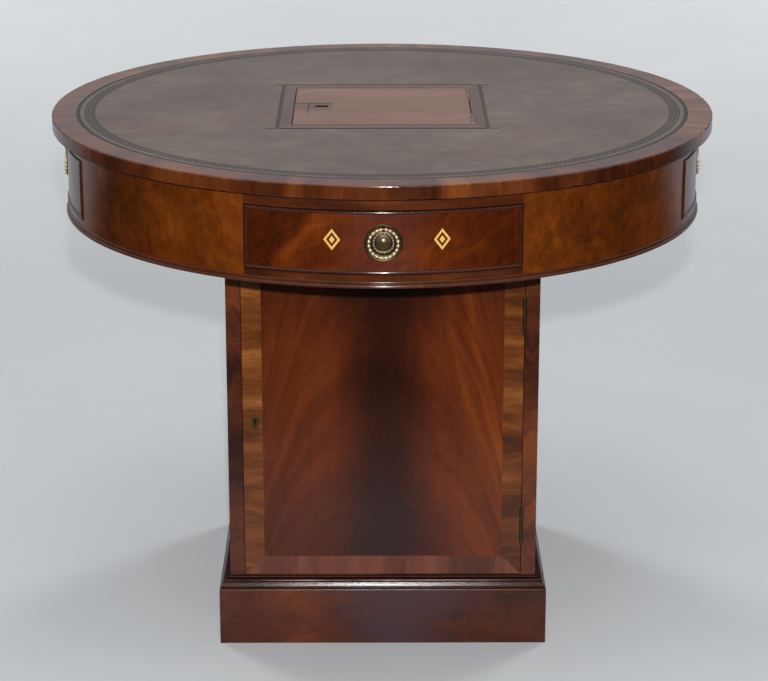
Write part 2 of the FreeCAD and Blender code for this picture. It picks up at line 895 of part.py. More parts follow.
def door_escutcheon():
    """Keyhole-shaped brass plate on the door's left edge."""
    radius = escutcheon_width / 2
    foot = escutcheon_height - escutcheon_width
    eye = Part.makeCylinder(radius, escutcheon_thickness)
    tail = slab([Vector(-radius, 0, 0), Vector(-radius / 2, -radius - foot, 0),
                 Vector(radius / 2, -radius - foot, 0), Vector(radius, 0, 0)],
                Vector(0, 0, escutcheon_thickness))
    plate = eye.fuse(tail).removeSplitter()
    middle = Vector(door_key_backset - door_half, -pedestal_half, door_lock_level)
    plate = placed(plate, Placement(middle, Rotation(Vector(1, 0, 0), 90)))
    return [plate.cut(door_key_cut())]


# Swivel

def swivel_lower_plate():
    inner = swivel_plate_radius - swivel_plate_width
    return [tube(inner, swivel_plate_radius, pedestal_top, pedestal_top + swivel_plate_thickness)]


def swivel_upper_plate():
    inner = swivel_plate_radius - swivel_plate_width
    return [tube(inner, swivel_plate_radius, board_underside - swivel_plate_thickness, board_underside)]


def swivel_spindle():
    """A flanged spindle that stands in the pedestal and passes up through the drum."""
    shaft = disc(spindle_radius, cupboard_ceiling, spindle_nut_top + spindle_end)
    flange = disc(spindle_flange_radius, pedestal_top, pedestal_top + spindle_flange_thickness)
    return [shaft.fuse(flange).removeSplitter()]


def swivel_nut():
    """The washer and nut that keep the drum on its spindle."""
    washer_top = washer_underside + washer_thickness
    washer = tube(spindle_radius, washer_radius, washer_underside, washer_top)
    nut = hexagon(spindle_nut_width, washer_top, spindle_nut_top)
    return [washer, nut.cut(disc(spindle_radius, washer_top, spindle_nut_top))]


# Nodes

def all_nodes():
    nodes = {
        "plinth_boards": plinth_boards(),
        "plinth_blocks": plinth_blocks(),
        "plinth_moulding": plinth_moulding(),
        "pedestal_sides": pedestal_sides(),
        "pedestal_back": pedestal_back(),
        "pedestal_floor": pedestal_floor(),
        "pedestal_shelf": pedestal_shelf(),
        "pedestal_ceiling": pedestal_ceiling(),
        "face_frame": face_frame(),
        "door_hinge_leaves": door_hinge_set("leaf") + door_hinge_set("pin"),
        "door_strike": door_strike(),
        "swivel_lower_plate": swivel_lower_plate(),
        "swivel_spindle": swivel_spindle(),
        "swivel_nut": swivel_nut(),
        "door_panel": door_panel(),
        "door_crossband": door_crossband(),
        "door_hinge_flaps": door_hinge_set("flap"),
        "door_escutcheon": door_escutcheon(),
        "door_lock": door_lock(),
        "door_bolt": door_bolt(),
        "top_board": top_board(),
        "top_rim": top_rim(),
        "top_leather": top_leather(),
        "lid_surround": lid_surround(),
        "apron_panels": apron_panels(),
        "drawer_rails": drawer_rails(),
        "base_bead": base_bead(),
        "drum_board": drum_board(),
        "drawer_partitions": drawer_partitions(),
        "well_walls": well_walls(),
        "well_floor": well_floor(),
        "swivel_upper_plate": swivel_upper_plate(),
        "lid_hinge_leaves": lid_hinge_set("leaf") + lid_hinge_set("pin"),
        "lid_strike": lid_strike(),
        "lid_panel": lid_panel(),
        "lid_hinge_flaps": lid_hinge_set("flap"),
        "lid_plate": lid_plate(),
        "lid_lock": lid_lock(),
        "lid_bolt": lid_bolt(),
    }
    drawer = {"face": drawer_face(), "bead": drawer_bead(), "box": drawer_box(),
              "rosette": rosette(), "ring": pull_ring()}
    for quarters, name in enumerate(side_names):
        for piece, solids in drawer.items():
            nodes[name + "_drawer_" + piece] = [turned(solid, quarters) for solid in solids]
    return nodes


def main():
    os.makedirs("parts", exist_ok=True)
    for name, shapes in all_nodes().items():
        solids = [solid for shape in shapes for solid in shape.Solids]
        compound = Part.makeCompound(solids)
        compound.exportStep("parts/" + name + ".step")
        valid = all(solid.isValid() for solid in solids)
        state = "valid" if valid else "NOT VALID"
        print(name, len(solids), "solids", round(compound.Volume / 1000), "cm3", state)


main()
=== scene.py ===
import math

import bmesh
import bpy
from mathutils import Matrix, Vector


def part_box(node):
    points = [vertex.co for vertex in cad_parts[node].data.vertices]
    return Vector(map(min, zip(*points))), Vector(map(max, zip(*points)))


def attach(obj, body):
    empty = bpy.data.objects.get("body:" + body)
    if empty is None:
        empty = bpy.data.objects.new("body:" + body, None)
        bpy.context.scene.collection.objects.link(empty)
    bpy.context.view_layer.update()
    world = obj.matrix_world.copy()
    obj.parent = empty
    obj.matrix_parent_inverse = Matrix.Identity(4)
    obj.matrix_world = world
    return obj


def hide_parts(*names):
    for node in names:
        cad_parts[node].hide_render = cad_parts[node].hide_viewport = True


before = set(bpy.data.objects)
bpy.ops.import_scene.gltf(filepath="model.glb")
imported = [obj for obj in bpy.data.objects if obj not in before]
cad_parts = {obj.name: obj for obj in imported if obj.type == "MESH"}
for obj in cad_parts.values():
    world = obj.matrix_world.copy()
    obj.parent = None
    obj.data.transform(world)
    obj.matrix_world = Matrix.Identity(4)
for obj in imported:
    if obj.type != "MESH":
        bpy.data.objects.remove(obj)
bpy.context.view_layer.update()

mm = 0.001
quarter_turn = math.pi / 2
sides = ("front", "right", "back", "left")

# Sizes in metres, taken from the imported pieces
top_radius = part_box("top_rim")[1].x
top_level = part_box("top_rim")[1].z
leather_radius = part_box("top_leather")[1].x
apron_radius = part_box("drawer_rails")[1].x
lid_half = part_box("lid_panel")[1].x
surround_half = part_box("lid_surround")[1].x
door_low, door_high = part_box("door_panel")
case_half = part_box("face_frame")[1].x
rosette_low, rosette_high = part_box("front_drawer_rosette")
pull_level = (rosette_low.z + rosette_high.z) / 2

# Marks on the lid and its lock plate
crack_x = -111 * mm
keyhole_left = -101 * mm
keyhole_right = -82 * mm
keyhole_y = -3 * mm


def srgb(*levels):
    """A colour given as levels from 0 to 255, in the linear light that shaders use."""
    return tuple(((level / 255 + 0.055) / 1.055) ** 2.4 for level in levels)


def shades(*colours):
    """Ramp stops at equal distances, from dark to light."""
    return [(number / (len(colours) - 1), srgb(*colour)) for number, colour in enumerate(colours)]


class Shader:
    """A material's node tree, built step by step. A value is a socket, a number or a colour."""

    def __init__(self, name, specular=0.5):
        self.material = bpy.data.materials.new(name)
        self.material.use_nodes = True
        self.tree = self.material.node_tree
        self.surface = self.tree.nodes["Principled BSDF"]
        self.surface.inputs["Specular IOR Level"].default_value = specular
        self.place = self.tree.nodes.new("ShaderNodeTexCoord").outputs["Object"]
        split = self.tree.nodes.new("ShaderNodeSeparateXYZ")
        self.tree.links.new(self.place, split.inputs[0])
        self.x, self.y, self.z = split.outputs

    def feed(self, socket, value):
        if isinstance(value, bpy.types.NodeSocket):
            self.tree.links.new(value, socket)
        elif socket.type == "RGBA":
            socket.default_value = (*value, 1.0)
        else:
            socket.default_value = value

    def add(self, kind, *values, **settings):
        node = self.tree.nodes.new("ShaderNode" + kind)
        for name, setting in settings.items():
            setattr(node, name, setting)
        for socket, value in zip(node.inputs, values):
            self.feed(socket, value)
        return node.outputs[0]

    def math(self, operation, *values):
        return self.add("Math", *values, operation=operation)

    def chain(self, operation, values):
        """One operation carried through all the values."""
        total = values[0]
        for value in values[1:]:
            total = self.math(operation, total, value)
        return total

    def plus(self, *values):
        return self.chain("ADD", values)

    def times(self, *values):
        return self.chain("MULTIPLY", values)

    def highest(self, *values):
        return self.chain("MAXIMUM", values)

    def minus(self, first, second):
        return self.math("SUBTRACT", first, second)

    def size(self, value):
        return self.math("ABSOLUTE", value)

    def distance(self, x, y):
        return self.math("SQRT", self.plus(self.times(x, x), self.times(y, y)))

    def blend(self, start, *parts):
        """The start plus each part's value times its weight."""
        return self.plus(start, *(self.times(value, weight) for value, weight in parts))

    def choose(self, share, first, second):
        """The first value where the share is 1, the second where it is 0."""
        return self.plus(self.times(share, first), self.times(self.minus(1.0, share), second))

    def smooth(self, value, low, high, start=0.0, end=1.0):
        """A soft step from start to end while the value goes from low to high."""
        return self.add("MapRange", value, low, high, start, end, interpolation_type="SMOOTHSTEP")

    def band(self, value, low, high, soft):
        """1 between low and high, with soft edges."""
        entered = self.smooth(value, low - soft, low + soft)
        return self.times(entered, self.smooth(value, high + soft, high - soft))

    def bands(self, value, *stretches):
        """The sum of several bands, each given by low, high, softness and strength."""
        return self.plus(*(self.times(self.band(value, low, high, soft), strength)
                           for low, high, soft, strength in stretches))

    def vector(self, x, y, z):
        return self.add("CombineXYZ", x, y, z)

    def noise(self, vector, scale=1.0, detail=3.0, roughness=0.55, distortion=0.0):
        """Smooth noise about 0, from about -0.5 to 0.5."""
        node = self.tree.nodes.new("ShaderNodeTexNoise")
        self.feed(node.inputs["Vector"], vector)
        self.feed(node.inputs["Scale"], scale)
        self.feed(node.inputs["Detail"], detail)
        self.feed(node.inputs["Roughness"], roughness)
        self.feed(node.inputs["Distortion"], distortion)
        return self.minus(node.outputs["Fac"], 0.5)

    def stretched(self, place, rates, **settings):
        """Noise with a rate of its own along each of the three coordinates of the place."""
        scaled = [value if rate == 1 else self.times(value, rate) for value, rate in zip(place, rates)]
        return self.noise(self.vector(*scaled), **settings)

    def random(self, value):
        """A random number from 0 to 1 for each whole number."""
        return self.add("TexWhiteNoise", (0, 0, 0), value, noise_dimensions="1D")

    def mix(self, factor, first, second):
        node = self.tree.nodes.new("ShaderNodeMix")
        node.data_type = "RGBA"
        self.feed(node.inputs[0], factor)
        self.feed(node.inputs[6], first)
        self.feed(node.inputs[7], second)
        return node.outputs[2]

    def ramp(self, value, stops):
        node = self.tree.nodes.new("ShaderNodeValToRGB")
        self.feed(node.inputs[0], value)
        elements = node.color_ramp.elements
        while len(elements) < len(stops):
            elements.new(0.5)
        for element, (position, colour) in zip(elements, stops):
            element.position = position
            element.color = (*colour, 1.0)
        return node.outputs[0]

    def bump(self, height, distance):
        node = self.tree.nodes.new("ShaderNodeBump")
        self.feed(node.inputs["Height"], height)
        self.feed(node.inputs["Distance"], distance)
        return node.outputs["Normal"]

    def finish(self, colour, roughness, normal=None, metallic=0.0):
        self.feed(self.surface.inputs["Base Color"], colour)
        self.feed(self.surface.inputs["Roughness"], roughness)
        self.surface.inputs["Metallic"].default_value = metallic
        if normal is not None:
            self.feed(self.surface.inputs["Normal"], normal)
        return self.material


# Places on the table

def polar(s):
    """The angle from the front towards +X, and the distance from the table's axis."""
    return s.math("ARCTAN2", s.x, s.times(s.y, -1.0)), s.distance(s.x, s.y)


def round_the_drum(s, radius=apron_radius):
    """Two coordinates on a circle, in place of a distance round the drum that would have a seam."""
    angle, _ = polar(s)
    return s.times(s.math("SINE", angle), radius), s.times(s.math("COSINE", angle), radius)


def quarter(s):
    """The number of the side that a point faces, and its distance from the middle of that side."""
    angle, _ = polar(s)
    number = s.math("ROUND", s.times(angle, 1 / quarter_turn))
    local = s.times(s.minus(angle, s.times(number, quarter_turn)), apron_radius)
    return s.math("FLOORED_MODULO", number, 4.0), local


def round_the_plinth(s):
    """1 on the front and the back and 0 on the two sides, and the distance along each."""
    facing = s.math("LESS_THAN", s.size(s.x), s.size(s.y))
    return facing, s.choose(facing, s.x, s.y)


# Woods, with distances in metres and rates per metre

def polished(s, grain, stops, tone=None, streaks=0.25, mottle=0.15, gloss=0.18, pores=0.3,
             crack_and_painted_light=None, colour=None):
    """French-polished wood: fibres, mottle, pores and a slightly uneven polish.

    The grain is the distance along, across and into the wood. The tone picks the colour from the
    stops, unless a colour is given, and the first stop colours the pores. A share and a tint may be
    given to mix in painted sheen, painted reflections and painted shade, and also the lid's crack."""
    fibre = s.stretched(grain, (8, 110, 110), detail=6.0, roughness=0.62)
    if colour is None:
        cloud = s.stretched(grain, (26, 60, 60))
        colour = s.ramp(s.blend(tone, (fibre, streaks), (cloud, mottle)), stops)
    if crack_and_painted_light:
        share, tint = crack_and_painted_light
        colour = s.mix(share, colour, tint)
    pore = s.smooth(s.stretched(grain, (150, 1500, 1500), detail=1.0), 0.12, 0.24)
    colour = s.mix(s.times(pore, pores), colour, stops[0][1])
    place = s.vector(*grain)
    wave = s.noise(place, scale=45.0, detail=2.0)
    smear = s.noise(place, scale=14.0, detail=4.0, roughness=0.7)
    roughness = s.blend(gloss, (smear, 0.1), (pore, 0.12))
    height = s.blend(wave, (pore, -0.5), (fibre, 0.25))
    return s.finish(colour, roughness, s.bump(height, 0.04 * mm))


def apron_wood():
    """Mottled veneer with short curly fibres, darker clouds and painted shade towards the corners between
    the sides.
    """
    s = Shader("apron_mahogany")
    number, local = quarter(s)
    round_x, round_y = round_the_drum(s)
    place = s.vector(round_x, round_y, s.z)
    cloud = s.noise(place, scale=9.0)
    swirl = s.noise(place, scale=17.0, detail=4.0, distortion=1.8)
    # Painted shade: darker towards the corners between the sides, starting sooner on the right of each side
    middle = s.smooth(s.size(s.plus(local, 0.045)), 0.27, 0.345)
    sway = s.blend(s.times(s.z, 0.25), (s.noise(place, scale=20.0, detail=2.0), 0.035))
    curly = s.plus(round_x, sway), s.plus(round_y, sway), s.z
    fleck = s.stretched(curly, (60, 60, 34), detail=5.0, roughness=0.66)
    fine = s.stretched(curly, (330, 330, 60), roughness=0.6)
    tone = s.blend(0.57, (cloud, 0.65), (swirl, 0.45), (fleck, 0.5), (fine, 0.32), (middle, -0.15))
    stops = shades((36, 15, 4), (62, 27, 5), (92, 42, 8), (120, 60, 15), (152, 88, 32))
    grain = s.z, s.blend(round_x, (round_y, 1.3)), number
    return polished(s, grain, stops, tone, 0.14, 0.1, gloss=0.17)


def rail_wood():
    """The rails over and under the drawers, with bars across a level grain."""
    s = Shader("rail_mahogany")
    round_x, round_y = round_the_drum(s)
    place = round_x, round_y, s.z
    cloud = s.stretched(place, (1, 1, 3), scale=16.0)
    bars = s.stretched(place, (60, 60, 12))
    patch = s.stretched(place, (1, 1, 2), scale=7.0, detail=2.0)
    tone = s.blend(0.5, (cloud, 0.8), (bars, 0.3), (patch, 1.1))
    stops = shades((30, 12, 5), (56, 24, 10), (82, 38, 16), (118, 62, 28))
    grain = s.blend(round_x, (round_y, 0.8)), s.z, s.z
    return polished(s, grain, stops, tone, 0.3, 0.2)


def drawer_wood():
    """Dark red-brown wood with a plume: a dark line, a golden edge, then brown that fades out. A painted
    violet sheen lies round the pull.
    """
    s = Shader("drawer_flame")
    lean = -0.85
    number, local = quarter(s)
    height = s.minus(s.z, pull_level)
    shift = s.times(s.math("SINE", s.times(number, 1.7)), 0.07)
    moved = s.plus(local, shift)
    wander = s.times(s.stretched((height, number, local), (26, 1, 7)), 0.05)
    flow = s.blend(local, (height, lean))

    plume = s.plus(flow, 0.126, shift, wander)
    dark_line = s.band(plume, -0.014, -0.002, 0.009)
    outer = s.times(s.smooth(plume, -0.002, -0.02), s.smooth(plume, -0.07, -0.045))
    gold = s.times(s.smooth(plume, -0.006, 0.01), s.smooth(plume, 0.05, 0.012))
    inside = s.times(s.smooth(plume, 0.0, 0.02), s.smooth(plume, 0.15, 0.05))

    patch_aside = s.size(s.minus(moved, s.blend(0.044, (height, 0.4))))
    patch_above = s.size(s.plus(height, 0.018))
    patch = s.smooth(s.plus(s.blend(patch_aside, (patch_above, 0.7)), wander), 0.042, 0.004)
    centre = s.smooth(s.size(moved), 0.19, 0.07)

    aside = s.plus(moved, 0.092)
    away = s.blend(s.distance(aside, s.plus(height, 0.024)), (wander, 0.6))
    arc = s.times(s.band(away, 0.036, 0.047, 0.01), s.smooth(aside, 0.02, -0.02))
    eye = s.smooth(away, 0.034, 0.016)

    curl = s.stretched((flow, height, number), (20, 20, 1), detail=5.0, roughness=0.6, distortion=1.6)
    curled = s.blend(flow, (curl, 0.02))
    veins = s.stretched((curled, height, number), (150, 40, 1), detail=4.0, roughness=0.6)
    upright = s.stretched((local, height, number), (260, 9, 1), detail=4.0)

    tone = s.blend(0.29, (gold, 0.1), (inside, 0.05), (patch, 0.1), (dark_line, -0.09), (centre, 0.12))
    tone = s.blend(tone, (arc, 0.12), (eye, -0.04), (outer, -0.06))
    tone = s.blend(tone, (curl, 0.55), (veins, 0.17), (upright, 0.18))
    stops = shades((24, 8, 2), (52, 18, 3), (78, 30, 5), (104, 46, 10), (134, 70, 22), (168, 100, 44))
    # Painted sheen: a violet-grey reflection laid over the middle of each drawer front, round the pull
    painted_sheen_middle = s.smooth(s.blend(s.size(local), (curl, 0.06)), 0.075, 0.02)
    crack_and_painted_light = s.times(painted_sheen_middle, 0.12), srgb(90, 66, 72)
    return polished(s, (s.z, local, number), stops, tone, 0.14, 0.1, gloss=0.14, crack_and_painted_light=crack_and_painted_light)


def door_streaks(s, height, drift, right, swirls):
    """Golden streaks that fan out downwards and fine rays beside them, stronger on the right."""
    drop = s.minus(0.34, height)
    bend = s.blend(s.times(drop, 0.18), (s.times(drop, drop), 0.35))
    flow = s.minus(s.blend(s.size(s.x), (drift, 0.6)), bend)
    amount = s.blend(0.35, (right, 0.65))
    streaks = s.bands(flow, (0.134, 0.146, 0.006, 1.0), (0.106, 0.114, 0.007, 0.8),
                      (0.058, 0.068, 0.012, 0.5))
    fan = s.times(streaks, amount, s.blend(0.75, (swirls, 1.6)))
    rays = s.stretched((flow, height, s.plus(right, 4.0)), (330, 7, 1), detail=4.0, roughness=0.62)
    return fan, s.times(rays, s.smooth(flow, 0.03, 0.09), amount)


def door_wood():
    """Crotch veneer: a soft dark middle under nested arches, with golden streaks down their arms. A painted
    sheen lies over its lower middle.
    """
    s = Shader("door_flame")
    height = s.minus(s.z, door_low.z)
    drift = s.times(s.stretched((height, 1.5, s.x), (5, 1, 3), detail=2.0), 0.03)
    side = s.plus(s.x, drift)
    reach = s.size(side)
    right = s.smooth(s.x, -0.02, 0.02)
    squared = s.times(side, side)
    arch = s.blend(height, (squared, 1.4), (s.times(squared, squared), 60.0))
    arch = s.math("DIVIDE", arch, s.minus(1.0, s.times(squared, 13.0)))

    broad = s.stretched((arch, side, 3.0), (5.5, 5, 1), roughness=0.5, distortion=0.3)
    veins = s.stretched((arch, side, 8.0), (85, 9, 1), detail=5.0, roughness=0.6)
    swirls = s.stretched((arch, side, 5.0), (24, 5, 1), detail=4.0)
    weave = s.stretched((s.x, s.z, 2.0), (90, 90, 1), detail=5.0, roughness=0.7)
    arms = s.smooth(reach, 0.02, 0.12, 0.4, 1.0)

    head = s.smooth(height, 0.34, 0.49)
    spread = s.blend(0.085, (head, 0.035), (s.smooth(height, 0.2, 0.0), 0.05))
    off_middle = s.size(s.blend(s.minus(side, 0.002), (head, -0.012)))
    core = s.smooth(s.math("DIVIDE", s.blend(off_middle, (broad, 0.05)), spread), 1.0, 0.0)
    ridges = s.bands(arch, (0.365, 0.395, 0.02, 1.0), (0.5, 0.515, 0.02, 1.0), (0.185, 0.205, 0.02, right))
    ridges = s.times(ridges, s.smooth(reach, 0.05, 0.13))
    fan, rays = door_streaks(s, height, drift, right, swirls)
    glow = s.times(s.smooth(reach, 0.03, 0.09), s.smooth(height, 0.06, 0.2), s.smooth(height, 0.48, 0.34))
    low_right = s.times(s.smooth(s.x, 0.08, 0.16), s.smooth(height, 0.34, 0.16))
    left_edge = s.smooth(s.x, -0.09, -0.17)

    tone = s.blend(0.41, (core, -0.28), (fan, 0.15), (glow, 0.07), (head, -0.07))
    tone = s.blend(tone, (low_right, 0.1), (left_edge, -0.02), (broad, 0.22))
    tone = s.blend(tone, (s.times(swirls, arms), 0.3), (s.times(veins, arms), 0.18))
    tone = s.blend(tone, (ridges, 0.09), (weave, 0.2), (rays, 0.16))
    stops = shades((26, 9, 4), (50, 18, 7), (78, 31, 9), (104, 45, 12), (132, 66, 20), (164, 96, 38))
    # Painted reflection: a dull bluish-grey sheen over the lower middle of the door
    painted_reflection_spread = s.blend(s.times(squared, 160.0), (s.size(s.minus(height, 0.075)), 9.0), (broad, 1.0))
    crack_and_painted_light = s.times(s.smooth(painted_reflection_spread, 1.0, 0.0), 0.35), srgb(38, 30, 34)
    return polished(s, (s.z, s.x, s.y), stops, tone, 0.12, 0.1, crack_and_painted_light=crack_and_painted_light)


def crossband_wood():
    """Veneer laid across each strip, with the strips meeting at mitres."""
    s = Shader("door_crossband")
    from_side = s.minus(door_high.x, s.size(s.x))
    from_foot = s.minus(s.z, door_low.z)
    from_end = s.math("MINIMUM", from_foot, s.minus(door_high.z, s.z))
    upright = s.math("LESS_THAN", from_side, from_end)
    level = s.minus(1.0, upright)
    side = s.times(upright, s.math("SIGN", s.x))
    along = s.choose(upright, s.x, s.z)
    across = s.blend(s.choose(upright, s.z, s.x), (side, 3.0))
    waved = s.blend(across, (s.stretched((along, across, 0.0), (34, 14, 1), detail=2.0), 0.008))
    bands = s.stretched((along, waved, 0.0), (6, 30, 1), detail=6.0, roughness=0.7)
    fibres = s.stretched((along, waved, 0.0), (14, 240, 1), detail=4.0, roughness=0.6)
    slow = s.stretched((1.0, across, 0.0), (1, 11, 1), detail=2.0)
    foot = s.times(upright, s.smooth(from_foot, 0.16, 0.02))
    tone = s.blend(0.48, (bands, s.choose(upright, 1.7, 0.7)), (slow, 1.4), (fibres, 0.3), (level, -0.1))
    tone = s.blend(tone, (side, -0.04), (foot, -0.22))
    upright_stops = shades((44, 20, 8), (76, 37, 13), (106, 57, 22), (134, 80, 36), (166, 112, 60))
    level_stops = shades((56, 27, 18), (86, 45, 32), (112, 62, 45), (134, 80, 60), (160, 106, 80))
    pore_stop = (0.0, srgb(52, 25, 10))
    colour = s.mix(level, s.ramp(tone, upright_stops), s.ramp(tone, level_stops))
    return polished(s, (along, across, s.y), [pore_stop], gloss=0.2, colour=colour)


def frame_wood():
    """The frame round the door, veneered across its stiles, with curls and orange patches."""
    s = Shader("frame_mahogany")
    edge = s.math("SIGN", s.x)
    waved = s.blend(s.z, (s.stretched((s.x, s.z, edge), (34, 11, 1), detail=2.0), 0.09))
    bands = s.stretched((s.x, waved, edge), (7, 26, 2), detail=6.0, roughness=0.66)
    patches = s.stretched((s.x, s.z, s.plus(edge, 5.0)), (6, 8, 1), detail=2.0)
    hairs = s.stretched((s.x, waved, edge), (20, 260, 1), detail=4.0)
    height = s.minus(s.z, door_low.z)
    head = s.smooth(height, 0.28, 0.42)
    waist = s.band(height, 0.17, 0.28, 0.04)
    foot = s.smooth(height, 0.16, 0.06)
    left = s.times(s.smooth(s.x, 0.01, -0.01), s.blend(s.times(head, 0.272), (waist, -0.2), (foot, 0.3)))
    tone = s.blend(0.38, (bands, 0.95), (patches, 1.25), (hairs, 0.3), (edge, 0.06), (waist, 0.1))
    stops = shades((28, 12, 8), (52, 23, 14), (80, 38, 20), (116, 60, 26), (154, 90, 42))
    return polished(s, (s.x, waved, s.plus(s.y, edge)), stops, s.plus(tone, left), gloss=0.2)


def case_wood():
    """The sides and the back of the pedestal, with upright grain."""
    s = Shader("case_mahogany")
    across = s.plus(s.x, s.y)
    sweep = s.blend(across, (s.stretched((s.z, across, s.x), (2, 1, 0.5), detail=1.0), 0.12))
    stripes = s.stretched((s.z, sweep, s.x), (1.5, 18, 2), detail=5.0, roughness=0.6)
    cloud = s.stretched((s.x, s.y, s.z), (1, 1, 0.6), scale=6.0, detail=2.0)
    tone = s.blend(0.46, (stripes, 0.5), (cloud, 0.35))
    stops = shades((34, 13, 5), (58, 24, 9), (82, 36, 13), (104, 50, 18), (132, 70, 28))
    return polished(s, (s.z, across, s.x), stops, tone, mottle=0.12, gloss=0.2)


def plinth_wood():
    """Flat-sawn boards with dark smudges, a warmer patch on the left of each and a painted sheen in the
    middle.
    """
    s = Shader("plinth_mahogany")
    facing, along = round_the_plinth(s)
    cloud = s.stretched((along, s.z, facing), (9, 22, 5), detail=4.0, roughness=0.6)
    smudge = s.stretched((along, s.z, s.plus(facing, 9.0)), (16, 30, 1), detail=4.0, roughness=0.7)
    smudge = s.smooth(smudge, 0.04, 0.2)
    warm = s.smooth(s.blend(s.size(s.plus(along, 0.13)), (cloud, 0.1)), 0.07, 0.01)
    tone = s.blend(0.44, (cloud, 0.9), (along, -0.2), (smudge, -0.22), (warm, 0.2))
    stops = shades((34, 14, 7), (54, 23, 11), (76, 34, 16), (98, 47, 21), (126, 64, 29))
    # Painted sheen: a bluish-grey reflection near the middle of each face, towards the top
    painted_sheen_spread = s.blend(s.size(s.minus(along, 0.02)), (cloud, 0.16), (s.minus(0.07, s.z), 0.8))
    crack_and_painted_light = s.times(s.smooth(painted_sheen_spread, 0.16, 0.02), 0.7), srgb(66, 50, 58)
    return polished(s, (along, s.z, s.plus(s.x, s.y)), stops, tone, mottle=0.25, gloss=0.22, crack_and_painted_light=crack_and_painted_light)


def bead_wood(name, *colours):
    """Solid mahogany for beads."""
    s = Shader(name)
    along = s.blend(s.x, (s.y, 0.9), (s.z, 0.2))
    tone = s.blend(0.45, (s.noise(s.place, scale=24.0, detail=4.0), 0.7))
    return polished(s, (along, s.z, s.z), shades(*colours), tone, 0.2, 0.25, gloss=0.14)


def plinth_moulding_wood():
    """Dark mahogany with fine ripples left by the plane. A pale highlight is painted along its bead's
    crest, a lighter line under its top, and shade in its cove and on its top.
    """
    s = Shader("moulding_mahogany", specular=0.06)
    facing, along = round_the_plinth(s)
    rise = s.minus(s.z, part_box("plinth_moulding")[0].z)
    # Painted highlight: a pale pinkish line along the bead's crest, strongest in the middle of each side
    crest = s.band(rise, 12.3 * mm, 13.4 * mm, 0.3 * mm)
    # Painted shade: the cove and the top fillet are darkened, and also made rougher
    hollow = s.smooth(rise, 13.7 * mm, 14.0 * mm)
    # Painted highlight: a lighter brown line at the foot of the top fillet
    ledge = s.band(rise, 15.2 * mm, 15.7 * mm, 0.2 * mm)
    cloud = s.noise(s.place, scale=24.0, detail=4.0)
    painted_crest_highlight = s.times(crest, s.blend(0.6, (cloud, 2.0)), s.smooth(s.size(along), 0.28, 0.06))
    stops = shades((26, 10, 6), (44, 19, 11), (62, 29, 16), (86, 45, 24))
    colour = s.ramp(s.blend(0.45, (cloud, 0.9)), stops)
    colour = s.mix(s.times(painted_crest_highlight, 0.85), colour, srgb(190, 160, 158))
    colour = s.mix(s.times(hollow, 0.7), colour, srgb(24, 8, 7))
    colour = s.mix(s.times(ledge, 0.45), colour, srgb(120, 84, 76))
    ripple = s.stretched((along, rise, facing), (90, 500, 1), roughness=0.7)
    speck = s.stretched((along, rise, facing), (300, 300, 1), detail=2.0)
    roughness = s.blend(0.14, (cloud, 0.06), (hollow, 0.5))
    return s.finish(colour, roughness, s.bump(s.blend(ripple, (speck, 0.9)), 0.09 * mm))


def rim_wood():
    """Crossbanding round the top: the fibres run out from the middle and down the edge."""
    s = Shader("rim_crossband", specular=0.42)
    lengths = 12
    first_joint = math.radians(9.0)
    angle, radius = polar(s)
    round_x, round_y = round_the_drum(s, top_radius)
    segment = s.math("FLOOR", s.times(s.minus(angle, first_joint), lengths / (2 * math.pi)))
    pick = s.minus(s.random(s.math("FLOORED_MODULO", segment, lengths)), 0.5)
    outward = s.plus(radius, s.z)
    place = round_x, round_y, s.times(outward, 6.0)
    bands = s.stretched(place, (24, 24, 1), detail=4.0, roughness=0.52, distortion=0.8)
    slow = s.stretched((round_x, round_y, 0.0), (9, 9, 1), detail=2.0)
    fibres = s.stretched(place, (260, 260, 3), detail=4.0)
    worn = s.smooth(s.z, top_level - 2 * mm, top_level - 0.3 * mm)
    tone = s.blend(0.47, (worn, 0.15), (bands, 1.15), (slow, 0.6), (fibres, 0.16), (pick, 0.24))
    stops = shades((34, 14, 7), (59, 26, 11), (84, 40, 16), (113, 61, 25), (149, 91, 43))
    grain = outward, s.blend(round_x, (round_y, 1.2)), round_y
    return polished(s, grain, stops, tone, 0.16, gloss=0.15)


def lid_wood():
    """Faded wood, pinker than the rest, with a hairline crack beside the lock and painted shade along its
    edges.
    """
    s = Shader("lid_mahogany", specular=0.45)
    tone = s.blend(0.6, (s.stretched((s.x, s.y, s.z), (5, 16, 1), detail=4.0), 0.9))
    wobble = s.times(s.stretched((0.0, s.y, 0.0), (1, 60, 1)), 4 * mm)
    beside = s.size(s.plus(s.x, -crack_x, wobble))
    crack = s.times(s.smooth(beside, 1.6 * mm, 0.4 * mm), s.band(s.y, -52 * mm, 12 * mm, 10 * mm))
    # Painted shade: dark lines along the lid's edges, where it meets the surround
    side = s.smooth(s.minus(lid_half, s.size(s.x)), 1.4 * mm, 0.6 * mm)
    end = s.smooth(s.minus(lid_half, s.size(s.y)), 6.4 * mm, 4.4 * mm)
    crack_and_painted_light = s.times(s.highest(crack, side, end), 0.85), srgb(46, 22, 18)
    stops = shades((82, 49, 33), (106, 69, 49), (127, 88, 66), (147, 107, 82))
    return polished(s, (s.x, s.y, s.z), stops, tone, 0.3, 0.2, gloss=0.3, crack_and_painted_light=crack_and_painted_light)


